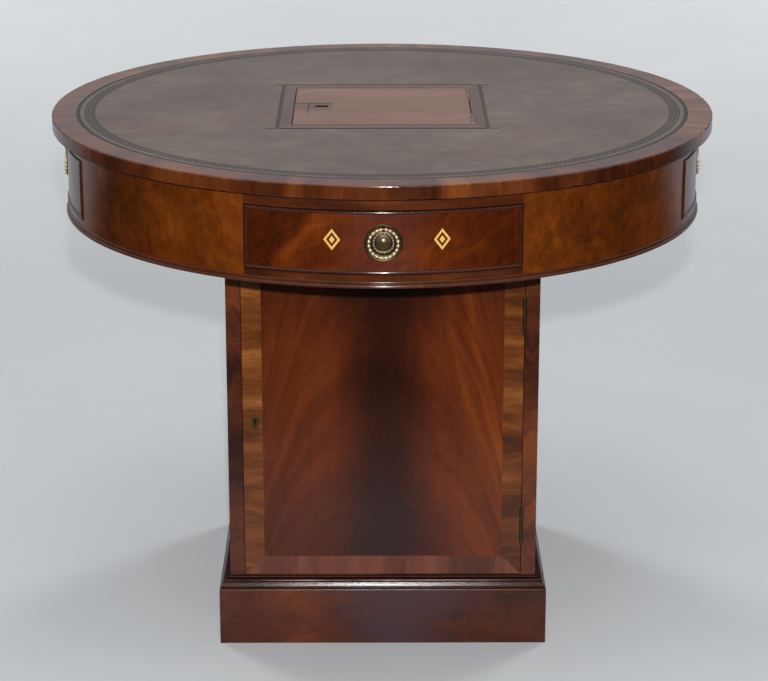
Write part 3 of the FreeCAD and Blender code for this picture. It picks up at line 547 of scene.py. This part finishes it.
def surround_wood():
    """The mitred strips round the lid, lighter at the front and the back."""
    s = Shader("surround_mahogany", specular=0.42)
    upright = s.math("LESS_THAN", s.size(s.y), s.size(s.x))
    along = s.choose(upright, s.y, s.x)
    across = s.choose(upright, s.x, s.y)
    figure = s.stretched((along, across, upright), (7, 40, 1))
    tone = s.blend(0.6, (s.minus(1.0, upright), 0.3), (figure, 0.6))
    stops = shades((48, 26, 15), (66, 39, 25), (85, 54, 36), (104, 70, 48))
    return polished(s, (along, across, s.z), stops, tone, 0.3, 0.2, gloss=0.26)


def lining_wood():
    """Plain mahogany inside the drawers, the well and the cupboard, oiled but not polished."""
    s = Shader("lining_mahogany")
    tone = s.blend(0.5, (s.noise(s.place, scale=8.0), 0.5))
    stops = shades((70, 38, 20), (124, 76, 42), (160, 106, 62))
    return polished(s, (s.blend(s.x, (s.y, 0.9)), s.z, s.z), stops, tone, 0.5, 0.2, gloss=0.5, pores=0.5)


def boxwood():
    """Pale wood for the inlay."""
    s = Shader("boxwood_inlay")
    stops = shades((176, 128, 60), (216, 172, 92), (234, 198, 124))
    return polished(s, (s.z, s.x, s.y), stops, 0.5, 0.4, 0.2, gloss=0.25, pores=0.1)


# Leather

# Distances in from the leather's edge, in millimetres
plain_lines = ((-1, 6), (12.6, 15), (26.4, 28))
vine_line = (16, 26)
vine_middle = 21
vine_swing = 4.2

vine_leaves = 170
line_softness = 0.3 * mm
frame_start = surround_half + 0.2 * mm
frame_end = surround_half + 6.2 * mm
frame_overrun = 13 * mm


def edge_line(s, radius, outer, inner):
    """A line round the leather between two distances from its edge."""
    return s.band(radius, leather_radius - inner * mm, leather_radius - outer * mm, line_softness)


def tooled_vine(s):
    """A running vine with leaves, in its border round the edge."""
    angle, radius = polar(s)
    beat = s.math("SINE", s.times(angle, vine_leaves))
    swing = s.times(s.minus(radius, leather_radius - vine_middle * mm), 1 / (vine_swing * mm))
    vine = s.smooth(s.size(s.minus(swing, beat)), 0.65, 0.3)
    leaf = s.smooth(s.size(s.plus(swing, beat)), 0.4, 0.15)
    return s.times(edge_line(s, radius, *vine_line), s.highest(vine, leaf))


def tooled_frame(s):
    """A frame round the lid whose front and back lines run on past its corners."""
    square = s.band(s.highest(s.size(s.x), s.size(s.y)), frame_start, frame_end, line_softness)
    level = s.band(s.size(s.y), frame_start, frame_end, line_softness)
    run_on = frame_end + frame_overrun
    return s.highest(square, s.times(level, s.smooth(s.size(s.x), run_on + 0.5 * mm, run_on - 0.5 * mm)))


def leather():
    """Old hide, waxed and worn, with a tooled border round its edge and round the lid, and painted shade
    beside the lid's surround.
    """
    s = Shader("tooled_leather")
    _, radius = polar(s)
    aside, beyond = s.size(s.x), s.size(s.y)
    lines = [edge_line(s, radius, *line) for line in plain_lines]
    tooled = s.highest(tooled_frame(s), tooled_vine(s), *lines)
    # Painted shade: a near-black line on the leather along the front and the back of the surround, darker at
    # the front
    gap_shade = s.times(s.smooth(beyond, surround_half - mm, surround_half),
                   s.smooth(beyond, surround_half + 7 * mm, surround_half + 5 * mm),
                   s.smooth(aside, surround_half + 1.5 * mm, surround_half),
                   s.smooth(s.y, 0.05, -0.05, 0.45, 1.0))

    blotch = s.noise(s.place, scale=7.0, detail=5.0, roughness=0.6)
    rub = s.noise(s.place, scale=30.0, detail=4.0, roughness=0.65)
    wrinkle = s.stretched((s.x, s.y, 2.0), (9, 70, 1), detail=4.0, roughness=0.65, distortion=0.5)
    red = s.smooth(s.noise(s.place, scale=4.0, detail=4.0, roughness=0.6), 0.0, 0.25)
    fleck = s.noise(s.place, scale=95.0, detail=4.0, roughness=0.7)
    mark = s.smooth(s.stretched((s.x, s.y, 3.0), (1, 0.6, 1), scale=70.0, detail=1.0), 0.24, 0.3)
    tone = s.blend(0.54, (blotch, 1.1), (rub, 0.8), (fleck, 0.6), (wrinkle, 0.35), (mark, -0.4))

    plain = s.ramp(tone, shades((58, 48, 38), (90, 74, 60), (120, 104, 88)))
    reddish = s.ramp(tone, shades((66, 40, 30), (98, 66, 52), (128, 92, 76)))
    colour = s.mix(s.times(red, 0.6), plain, reddish)
    colour = s.mix(s.times(edge_line(s, radius, *vine_line), 0.35), colour, srgb(46, 42, 32))
    depth = s.smooth(s.highest(aside, beyond), frame_end, frame_end + 3 * mm, 0.68, 0.85)
    colour = s.mix(s.times(tooled, depth), colour, srgb(22, 24, 18))
    colour = s.mix(gap_shade, colour, srgb(8, 7, 6))

    pebble = s.noise(s.place, scale=900.0, detail=2.0)
    crease = s.noise(s.place, scale=160.0, detail=4.0, roughness=0.6)
    height = s.blend(s.times(pebble, 0.3), (crease, 0.35), (wrinkle, 0.5), (tooled, -1.6))
    roughness = s.blend(0.34, (rub, 0.16), (tooled, 0.14), (gap_shade, 0.3))
    return s.finish(colour, roughness, s.bump(height, 0.12 * mm))


# Metals

def brass(name, bright, dull, patina, roughness, metallic):
    """Old brass: bright, with dull brown patches of tarnish and fine spots."""
    s = Shader(name)
    tarnish = s.plus(s.noise(s.place, scale=160.0, detail=4.0, roughness=0.6), 0.5)
    spots = s.noise(s.place, scale=900.0, detail=2.0)
    share = s.smooth(s.blend(tarnish, (spots, 0.3)), 0.62 - patina, 0.8 - patina)
    colour = s.mix(share, srgb(*bright), srgb(*dull))
    roughness = s.blend(roughness, (share, 0.22), (spots, 0.1))
    return s.finish(colour, roughness, s.bump(spots, 0.03 * mm), metallic)


def brasses():
    """The brass of each fitting: bright and dull colour, patina, roughness, and how metallic it looks."""
    recipes = {
        "plate": ("old_brass", (74, 60, 40), (38, 29, 19), 0.0, 0.4, 1.0),
        "boss": ("boss_brass", (76, 62, 38), (54, 42, 26), 0.05, 0.26, 0.4),
        "necklace": ("rubbed_brass", (170, 156, 148), (96, 84, 78), 0.0, 0.42, 1.0),
        "ring": ("worn_brass", (226, 210, 172), (128, 108, 72), -0.08, 0.44, 1.0),
        "door": ("dark_brass", (96, 82, 56), (46, 36, 26), 0.1, 0.36, 1.0),
        "lid": ("hinge_brass", (128, 104, 92), (76, 56, 46), 0.0, 0.6, 0.3),
    }
    return {fitting: brass(*recipe) for fitting, recipe in recipes.items()}


def lock_plate_brass():
    """The lid's lock plate: dull, worn to the lid's colour, dark along its back edge, with painted shade in
    and round its keyhole.
    """
    s = Shader("lid_plate_brass")
    low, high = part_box("lid_plate")
    stain = s.noise(s.place, scale=120.0, detail=4.0, roughness=0.6)
    colour = s.mix(s.smooth(stain, -0.1, 0.25), srgb(158, 130, 112), srgb(134, 106, 90))
    # Painted shade: every face under the plate's top face, such as the keyhole's walls, is darkened
    below = s.smooth(s.z, high.z - 0.04 * mm, high.z - 0.1 * mm)
    back_edge = s.times(s.smooth(s.y, high.y - 4.0 * mm, high.y - 2.0 * mm), 0.9)
    front_edge = s.times(s.smooth(s.y, low.y + 2.4 * mm, low.y + mm), 0.35)
    # Painted shade and dirt: the keyhole and a patch round it, wider than the hole, go dark
    keyhole = s.times(s.smooth(s.size(s.minus(s.y, keyhole_y)), 7.0 * mm, 5.0 * mm),
                      s.band(s.x, keyhole_left, keyhole_right, 0.6 * mm))
    crack = s.times(s.smooth(s.size(s.minus(s.x, crack_x)), 1.4 * mm, 0.4 * mm), 0.8)
    dark = s.highest(below, crack, s.plus(back_edge, front_edge), keyhole)
    colour = s.mix(dark, colour, srgb(14, 9, 7))
    roughness = s.blend(0.42, (stain, 0.2), (dark, 0.3))
    return s.finish(colour, roughness, s.bump(stain, 0.03 * mm), 1.0)


def steel():
    """Oiled steel with brush marks and stains."""
    s = Shader("oiled_steel")
    brush = s.stretched((s.x, s.y, s.z), (60, 60, 400), detail=4.0)
    stain = s.noise(s.place, scale=40.0, detail=4.0)
    colour = s.mix(s.blend(0.5, (stain, 1.2)), srgb(150, 148, 142), srgb(88, 80, 72))
    return s.finish(colour, s.blend(0.4, (brush, 0.2)), s.bump(brush, 0.02 * mm), 1.0)


# Meshes

sharp_angle = math.radians(38)
bead_stretch = 1.2


def make_piece(name, shape, material, body, slot, *replaced):
    """Turns a bmesh, in the table's frame, into a piece that moves with a body."""
    mesh = bpy.data.meshes.new(name)
    bmesh.ops.recalc_face_normals(shape, faces=shape.faces)
    shape.to_mesh(mesh)
    shape.free()
    for polygon in mesh.polygons:
        polygon.use_smooth = True
    mesh.set_sharp_from_angle(angle=sharp_angle)
    mesh.materials.append(material)
    piece = bpy.data.objects.new(name, mesh)
    bpy.context.scene.collection.objects.link(piece)
    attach(piece, body)
    if replaced:
        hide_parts(*replaced)


def wall(shape, here, ahead):
    """A closed band of faces between two loops with equal numbers of points."""
    count = len(here)
    for corner in range(count):
        after = (corner + 1) % count
        shape.faces.new((here[corner], here[after], ahead[after], ahead[corner]))


def closed_tube(shape, loops):
    """Walls from each loop to the next, and from the last to the first."""
    for here, ahead in zip(loops, loops[1:] + loops[:1]):
        wall(shape, here, ahead)


def circle_points(count):
    """The cosine and the sine of angles at equal steps round a circle."""
    angles = [2 * math.pi * step / count for step in range(count)]
    return [(math.cos(angle), math.sin(angle)) for angle in angles]


def lathe(shape, profile, steps=64):
    """Turns a profile of radius and height about Z."""
    rings = []
    for radius, height in profile:
        points = circle_points(steps) if radius else [(0, 0)]
        rings.append([shape.verts.new((radius * x, radius * y, height)) for x, y in points])
    for low, high in zip(rings, rings[1:]):
        for step in range(steps):
            after = (step + 1) % steps
            lower = [low[step % len(low)], low[after % len(low)]]
            upper = [high[after % len(high)], high[step % len(high)]]
            unique = list(dict.fromkeys(lower + upper))
            if len(unique) > 2:
                shape.faces.new(unique)


def beads(shape, count, circle, radius, height, fineness=2, start=0.0):
    """A ring of beads, slightly long along the circle."""
    stretch = Matrix.Diagonal((1.0, bead_stretch, 1.0, 1.0))
    for number in range(count):
        angle = start + 2 * math.pi * number / count
        place = Matrix.Rotation(angle, 4, "Z") @ Matrix.Translation((circle, 0, height)) @ stretch
        bmesh.ops.create_icosphere(shape, subdivisions=fineness, radius=radius, matrix=place)


def torus(shape, circle, radius, height, steps=72, corners=12):
    """A wire ring round Z."""
    loops = []
    for out_x, out_y in circle_points(steps):
        loop = []
        for across, up in circle_points(corners):
            reach = circle + radius * across
            loop.append(shape.verts.new((reach * out_x, reach * out_y, height + radius * up)))
        loops.append(loop)
    closed_tube(shape, loops)


def swept(shape, sections):
    """A closed skin through sections with equal numbers of points, capped at both ends."""
    loops = [[shape.verts.new(point) for point in section] for section in sections]
    for here, ahead in zip(loops, loops[1:]):
        wall(shape, here, ahead)
    shape.faces.new(list(reversed(loops[0])))
    shape.faces.new(loops[-1])


def on_side(number):
    """Places a shape built with +Z outwards and +Y up on the middle of a drawer."""
    turn = Matrix.Rotation(quarter_turn * number, 4, "Z")
    return turn @ Matrix.Translation((0, -apron_radius, pull_level)) @ Matrix.Rotation(quarter_turn, 4, "X")


# Ring pulls

plate_radius = 26 * mm
plate_thickness = 0.8 * mm
plate_roll = 1 * mm
boss_radius = 9.5 * mm
boss_foot = 0.85 * mm
boss_rise = 2.75 * mm
boss_shares = (1, 0.94, 0.87, 0.8, 0.7, 0.6, 0.5, 0.4, 0.3, 0.2, 0.1, 0)
necklace_beads = 22
necklace_circle = 13.5 * mm
necklace_bead_radius = 1.5 * mm
necklace_level = 1.2 * mm
ring_circle = 19.8 * mm
ring_level = 3.3 * mm
ring_wire_radius = 0.8 * mm
ring_beads = 20
ring_bead_radius = 2.2 * mm
ring_tilt = math.radians(2)
staple_half = 2.3 * mm
staple_inner = 2.5 * mm
staple_outer = 3.6 * mm
staple_taper = 0.8
front_thickness = 19 * mm
bolt_radius = 2.5 * mm
bolt_end = -front_thickness - 4.1 * mm

# Radius and height of the plate's steps, from its middle to its rolled edge, in millimetres
plate_steps = ((0, 0.9), (10.4, 0.9), (11.2, 0.6), (11.8, 0.9), (15.2, 0.9), (15.8, 0.5), (16.6, 0.2),
               (17.6, 0.1), (18.6, 0.4), (21.5, 0.8), (22.6, 0.5))
# Radius of the nut and distance behind the drawer front, in millimetres
nut_profile = ((6.6, 4.0), (6.9, 3.6), (6.9, 0.5), (6.6, 0.1))


def rosette_plate():
    """Stamped plate with a rolled edge and two steps, and the boss's bolt and nut behind it."""
    shape = bmesh.new()
    profile = [(radius * mm, height * mm) for radius, height in plate_steps]
    for angle in [math.radians(turn) for turn in range(-80, 91, 17)]:
        radius = plate_radius - plate_roll + plate_roll * math.sin(angle)
        profile.append((radius, plate_thickness + plate_roll * math.cos(angle)))
    profile += [(plate_radius, -plate_thickness), (0, -plate_thickness)]
    lathe(shape, profile)
    lathe(shape, [(0, bolt_end), (bolt_radius, bolt_end), (bolt_radius, -plate_thickness)], 24)
    nut = [(radius * mm, -front_thickness - behind * mm) for radius, behind in nut_profile]
    lathe(shape, [(bolt_radius, nut[0][1])] + nut + [(bolt_radius, nut[-1][1])], 6)
    return shape


def boss():
    """The round boss in the middle of the rosette."""
    shape = bmesh.new()
    dome = [(boss_radius * share, boss_foot + boss_rise * (1 - share * share)) for share in boss_shares]
    lathe(shape, dome)
    return shape


def staple():
    """The arch that the ring hangs in, a flat strip bent over the wire and down to the plate."""
    shape = bmesh.new()
    foot = Vector((0, ring_circle, plate_thickness))
    top = Vector((0, ring_circle, ring_level))
    arch = [(top, math.radians(turn)) for turn in range(0, 181, 15)]
    narrow = staple_half * staple_taper
    corners = ((-staple_half, staple_inner), (staple_half, staple_inner), (narrow, staple_outer),
               (-narrow, staple_outer))
    sections = []
    for centre, angle in [(foot, 0.0)] + arch + [(foot, math.pi)]:
        normal = Vector((0, math.cos(angle), math.sin(angle)))
        sections.append([centre + Vector((x, 0, 0)) + normal * reach for x, reach in corners])
    swept(shape, sections)
    return shape


def necklace():
    """The ring of small beads round the boss."""
    shape = bmesh.new()
    beads(shape, necklace_beads, necklace_circle, necklace_bead_radius, necklace_level)
    return shape


def ring():
    """The beaded ring, tilted a little about the staple."""
    shape = bmesh.new()
    torus(shape, ring_circle, ring_wire_radius, ring_level)
    half_step = math.pi / ring_beads
    beads(shape, ring_beads, ring_circle, ring_bead_radius, ring_level, fineness=3, start=half_step)
    hinge = Vector((0, ring_circle, ring_level))
    tilt = Matrix.Translation(hinge) @ Matrix.Rotation(-ring_tilt, 4, "X") @ Matrix.Translation(-hinge)
    shape.transform(tilt)
    return shape


def ring_pull(number, metals):
    """A drawer's rosette with its boss, staple and beads, and the ring."""
    drawer = sides[number] + "_drawer"
    pieces = (
        ("_rosette_detail", rosette_plate(), "plate", drawer, [drawer + "_rosette"]),
        ("_boss", boss(), "boss", drawer, []),
        ("_staple", staple(), "plate", drawer, []),
        ("_rosette_beads", necklace(), "necklace", drawer, []),
        ("_ring_detail", ring(), "ring", sides[number] + "_ring", [drawer + "_ring"]),
    )
    for ending, shape, metal, body, replaced in pieces:
        shape.transform(on_side(number))
        make_piece(drawer + ending, shape, metals[metal], body, "brass", *replaced)


# Plinth moulding: distances in from its face and heights over its foot, in millimetres

foot_fillet = ((0, 0), (0, 2.1), (0.2, 2.4), (0.9, 2.6), (0.9, 3.3), (0.55, 3.5))
ovolo_start = (0.55, 3.5)
ovolo_depth = 2.95
ovolo_height = 6.5
ovolo_power = 1.1
ovolo_steps = 8
quirk = ((4.2, 10.05), (4.9, 10.4), (5.2, 10.7))
bead_middle = (5.3, 12.2)
bead_radius = 1.5
cove_start = (5.9, 13.8)
top_fillet_width = 2.0
top_fillet_height = 1.2


def moulding_profile(depth, height):
    """Fillet, flat ovolo, bead and cove, from the foot to the top and down the back."""
    profile = list(foot_fillet)
    inset, rise = ovolo_start
    for share in [step / ovolo_steps for step in range(1, ovolo_steps + 1)]:
        profile.append((inset + ovolo_depth * share ** ovolo_power, rise + ovolo_height * share))
    profile += quirk
    inset, rise = bead_middle
    for angle in [math.radians(turn) for turn in range(-75, 91, 15)]:
        profile.append((inset - bead_radius * math.cos(angle), rise + bead_radius * math.sin(angle)))
    inset, rise = cove_start
    cove_depth = depth - top_fillet_width - inset
    cove_top = height - top_fillet_height
    cove_height = cove_top - rise
    for angle in [math.radians(turn) for turn in range(10, 91, 10)]:
        profile.append((inset + cove_depth * math.sin(angle), cove_top - cove_height * math.cos(angle)))
    return profile + [(depth - top_fillet_width, height), (depth, height), (depth, 0)]


def plinth_moulding(material):
    """The moulding as one mitred frame round the case."""
    low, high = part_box("plinth_moulding")
    corners = ((-1, -1), (1, -1), (1, 1), (-1, 1))
    shape = bmesh.new()
    loops = []
    for inset, rise in moulding_profile((high.x - case_half) / mm, (high.z - low.z) / mm):
        reach = high.x - inset * mm
        loops.append([shape.verts.new((x * reach, y * reach, low.z + rise * mm)) for x, y in corners])
    closed_tube(shape, loops)
    make_piece("plinth_moulding_detail", shape, material, "pedestal", "mahogany", "plinth_moulding")


# Inlay

inlay_angles = (math.radians(-8.4), math.radians(9.6))
inlay_level = top_level - 80.3 * mm
inlay_proud = apron_radius + 0.08 * mm
inlay_sunk = apron_radius - 0.6 * mm
# Half width, half height and the share of them that stays open in the middle
lozenges = ((11.5 * mm, 15 * mm, 0.68), (4 * mm, 5.4 * mm, 0.02))


def lozenge(shape, middle, half_width, half_height, open_share):
    """A lozenge on the curved front, open in its middle, built as a tube round its outline."""
    def point(across, up, radius):
        angle = middle + across / apron_radius
        return Vector((radius * math.sin(angle), -radius * math.cos(angle), inlay_level + up))

    corners = [(half_width, 0), (0, half_height), (-half_width, 0), (0, -half_height)]
    steps = 4
    outline = []
    for (x, z), (next_x, next_z) in zip(corners, corners[1:] + corners[:1]):
        outline += [(x + (next_x - x) * k / steps, z + (next_z - z) * k / steps) for k in range(steps)]
    edges = ((open_share, inlay_sunk), (1, inlay_sunk), (1, inlay_proud), (open_share, inlay_proud))
    loops = []
    for share, radius in edges:
        loops.append([shape.verts.new(point(x * share, z * share, radius)) for x, z in outline])
    closed_tube(shape, loops)


def inlay(number, material):
    """Two framed lozenges on a drawer front."""
    shape = bmesh.new()
    for middle in inlay_angles:
        for size in lozenges:
            lozenge(shape, middle, *size)
    shape.transform(Matrix.Rotation(quarter_turn * number, 4, "Z"))
    make_piece(sides[number] + "_drawer_inlay", shape, material, sides[number] + "_drawer", "lining_wood")


# Finish

def of_each_drawer(ending):
    """The names of one kind of node on all four drawers."""
    return [side + "_drawer_" + ending for side in sides]


def dress():
    """Gives each carried-over node its material and adds the pieces made here."""
    metals = brasses()
    moulding = plinth_moulding_wood()
    base_bead = bead_wood("base_bead_mahogany", (36, 15, 7), (62, 28, 11), (84, 40, 16), (112, 59, 26))
    drawer_bead = bead_wood("bead_mahogany", (28, 11, 7), (48, 22, 14), (68, 34, 21), (98, 54, 32))
    finishes = (
        (lining_wood(), "plinth_blocks", "pedestal_floor", "pedestal_shelf", "pedestal_ceiling", "top_board",
         "drum_board", "drawer_partitions", "well_walls", "well_floor", *of_each_drawer("box")),
        (steel(), "swivel_lower_plate", "swivel_upper_plate", "swivel_spindle", "swivel_nut",
         "door_lock", "door_bolt", "lid_lock", "lid_bolt"),
        (metals["plate"], "door_strike", "lid_strike"),
        (metals["door"], "door_hinge_leaves", "door_hinge_flaps", "door_escutcheon"),
        (metals["lid"], "lid_hinge_leaves", "lid_hinge_flaps"),
        (lock_plate_brass(), "lid_plate"),
        (plinth_wood(), "plinth_boards"),
        (moulding, "plinth_moulding"),
        (case_wood(), "pedestal_sides", "pedestal_back"),
        (frame_wood(), "face_frame"),
        (door_wood(), "door_panel"),
        (crossband_wood(), "door_crossband"),
        (rim_wood(), "top_rim"),
        (leather(), "top_leather"),
        (lid_wood(), "lid_panel"),
        (surround_wood(), "lid_surround"),
        (apron_wood(), "apron_panels"),
        (rail_wood(), "drawer_rails"),
        (base_bead, "base_bead"),
        (drawer_wood(), *of_each_drawer("face")),
        (drawer_bead, *of_each_drawer("bead")),
    )
    for material, *nodes in finishes:
        for node in nodes:
            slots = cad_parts[node].data.materials
            for slot in range(len(slots)):
                slots[slot] = material
    plinth_moulding(moulding)
    inlaid = boxwood()
    for number in range(len(sides)):
        ring_pull(number, metals)
        inlay(number, inlaid)


# Studio, in metres and watts, with the lens and its sensor in millimetres

camera_place = (-0.01273, -3.68254, 1.5761)
camera_turn = (math.radians(72.301), 0.0, math.radians(-0.241))
camera_lens = 116.5
camera_sensor = 36.0
camera_far_end = 100.0

key_place = (0.0, -3.72, 1.765)
overhead_place = (0.0, -0.4, 3.4)
fill_places = ((-4.6, 4.6, 2.6), (4.6, 4.6, 2.6))
floor_radius = 40.0

room_colour = (170, 174, 181)
horizon_colour = (196, 199, 202)
lit_share = 0.3

# Where the lamps would whiten the floor: place, share of the colour kept in the middle, and reach
bright_spots = ((0.0, -3.0, 0.4, 2.0), (-3.8, 3.8, 0.5, 3.3), (3.8, 3.8, 0.5, 3.3))


def lamp(name, place, target, size, power):
    """A round lamp that points at its target."""
    data = bpy.data.lights.new(name, "AREA")
    data.shape = "DISK"
    data.size = size
    data.energy = power
    light = bpy.data.objects.new(name, data)
    light.location = place
    light.rotation_euler = (Vector(target) - Vector(place)).to_track_quat("-Z", "Y").to_euler()
    light.visible_camera = False
    bpy.context.scene.collection.objects.link(light)
    return light


def camera():
    """The viewpoint of the photograph."""
    data = bpy.data.cameras.new("camera")
    data.lens = camera_lens
    data.sensor_width = camera_sensor
    data.clip_end = camera_far_end
    viewer = bpy.data.objects.new("camera", data)
    viewer.location = camera_place
    viewer.rotation_euler = camera_turn
    bpy.context.scene.collection.objects.link(viewer)
    bpy.context.scene.camera = viewer


def room():
    """A pale room that lights the table weakly, seen as a horizon like the far floor."""
    world = bpy.data.worlds.new("room")
    world.use_nodes = True
    tree = world.node_tree
    path = tree.nodes.new("ShaderNodeLightPath")
    strength = tree.nodes.new("ShaderNodeMapRange")
    strength.inputs["To Min"].default_value = 1.0
    strength.inputs["To Max"].default_value = lit_share
    colour = tree.nodes.new("ShaderNodeMix")
    colour.data_type = "RGBA"
    colour.inputs[6].default_value = (*srgb(*room_colour), 1.0)
    colour.inputs[7].default_value = (*srgb(*horizon_colour), 1.0)
    background = tree.nodes["Background"]
    tree.links.new(path.outputs["Is Diffuse Ray"], strength.inputs["Value"])
    tree.links.new(path.outputs["Is Camera Ray"], colour.inputs[0])
    tree.links.new(colour.outputs[2], background.inputs["Color"])
    tree.links.new(strength.outputs["Result"], background.inputs["Strength"])
    bpy.context.scene.world = world


def floor_paint():
    """Pale floor, kept pale far away and darker under the lamps, where it would go white.

    Its reflections are bright near the table and behind it, dark elsewhere."""
    s = Shader("pale_floor", specular=0.0)
    path = s.tree.nodes.new("ShaderNodeLightPath")
    to_camera = path.outputs["Is Camera Ray"]
    _, away = polar(s)
    mottled = s.noise(s.place, scale=3.0, detail=4.0)
    seen = s.mix(s.plus(0.5, mottled), srgb(198, 201, 203), srgb(206, 209, 211))
    for x, y, share, reach in bright_spots:
        gap = s.distance(s.minus(s.x, x), s.minus(s.y, y))
        seen = s.mix(s.smooth(gap, 0.2, reach, share, 1.0), (0.0, 0.0, 0.0), seen)
    far = s.smooth(away, 1.5, 9.0)
    s.feed(s.surface.inputs["Emission Color"], seen)
    s.feed(s.surface.inputs["Emission Strength"], s.times(to_camera, far, 0.8))
    bright = s.highest(s.smooth(away, 1.5, 0.45), s.smooth(s.y, 0.9, 2.0))
    reflected = s.mix(bright, (0.015, 0.015, 0.016), (0.42, 0.44, 0.48))
    colour = s.mix(path.outputs["Is Glossy Ray"], srgb(120, 121, 122), reflected)
    return s.finish(s.mix(to_camera, colour, seen), 0.6)


def floor():
    """A disc so wide that its edge looks like a horizon."""
    shape = bmesh.new()
    bmesh.ops.create_circle(shape, cap_ends=True, segments=64, radius=floor_radius)
    mesh = bpy.data.meshes.new("floor")
    shape.to_mesh(mesh)
    shape.free()
    mesh.materials.append(floor_paint())
    disc = bpy.data.objects.new("floor", mesh)
    bpy.context.scene.collection.objects.link(disc)


def studio():
    """Camera, a small lamp just above it, a wide lamp overhead, two fills behind and a pale room."""
    camera()
    lamp("key", key_place, target=(0, 0, 0.5), size=0.06, power=141.0)
    lamp("overhead", overhead_place, target=(0, 0, 0.7), size=3.0, power=36.0)
    for place in fill_places:
        fill = lamp("fill", place, target=(0, 0, 0.45), size=2.4, power=215.0)
        fill.visible_glossy = False
    room()
    floor()


bpy.context.scene.view_settings.view_transform = "Standard"
studio()
dress()
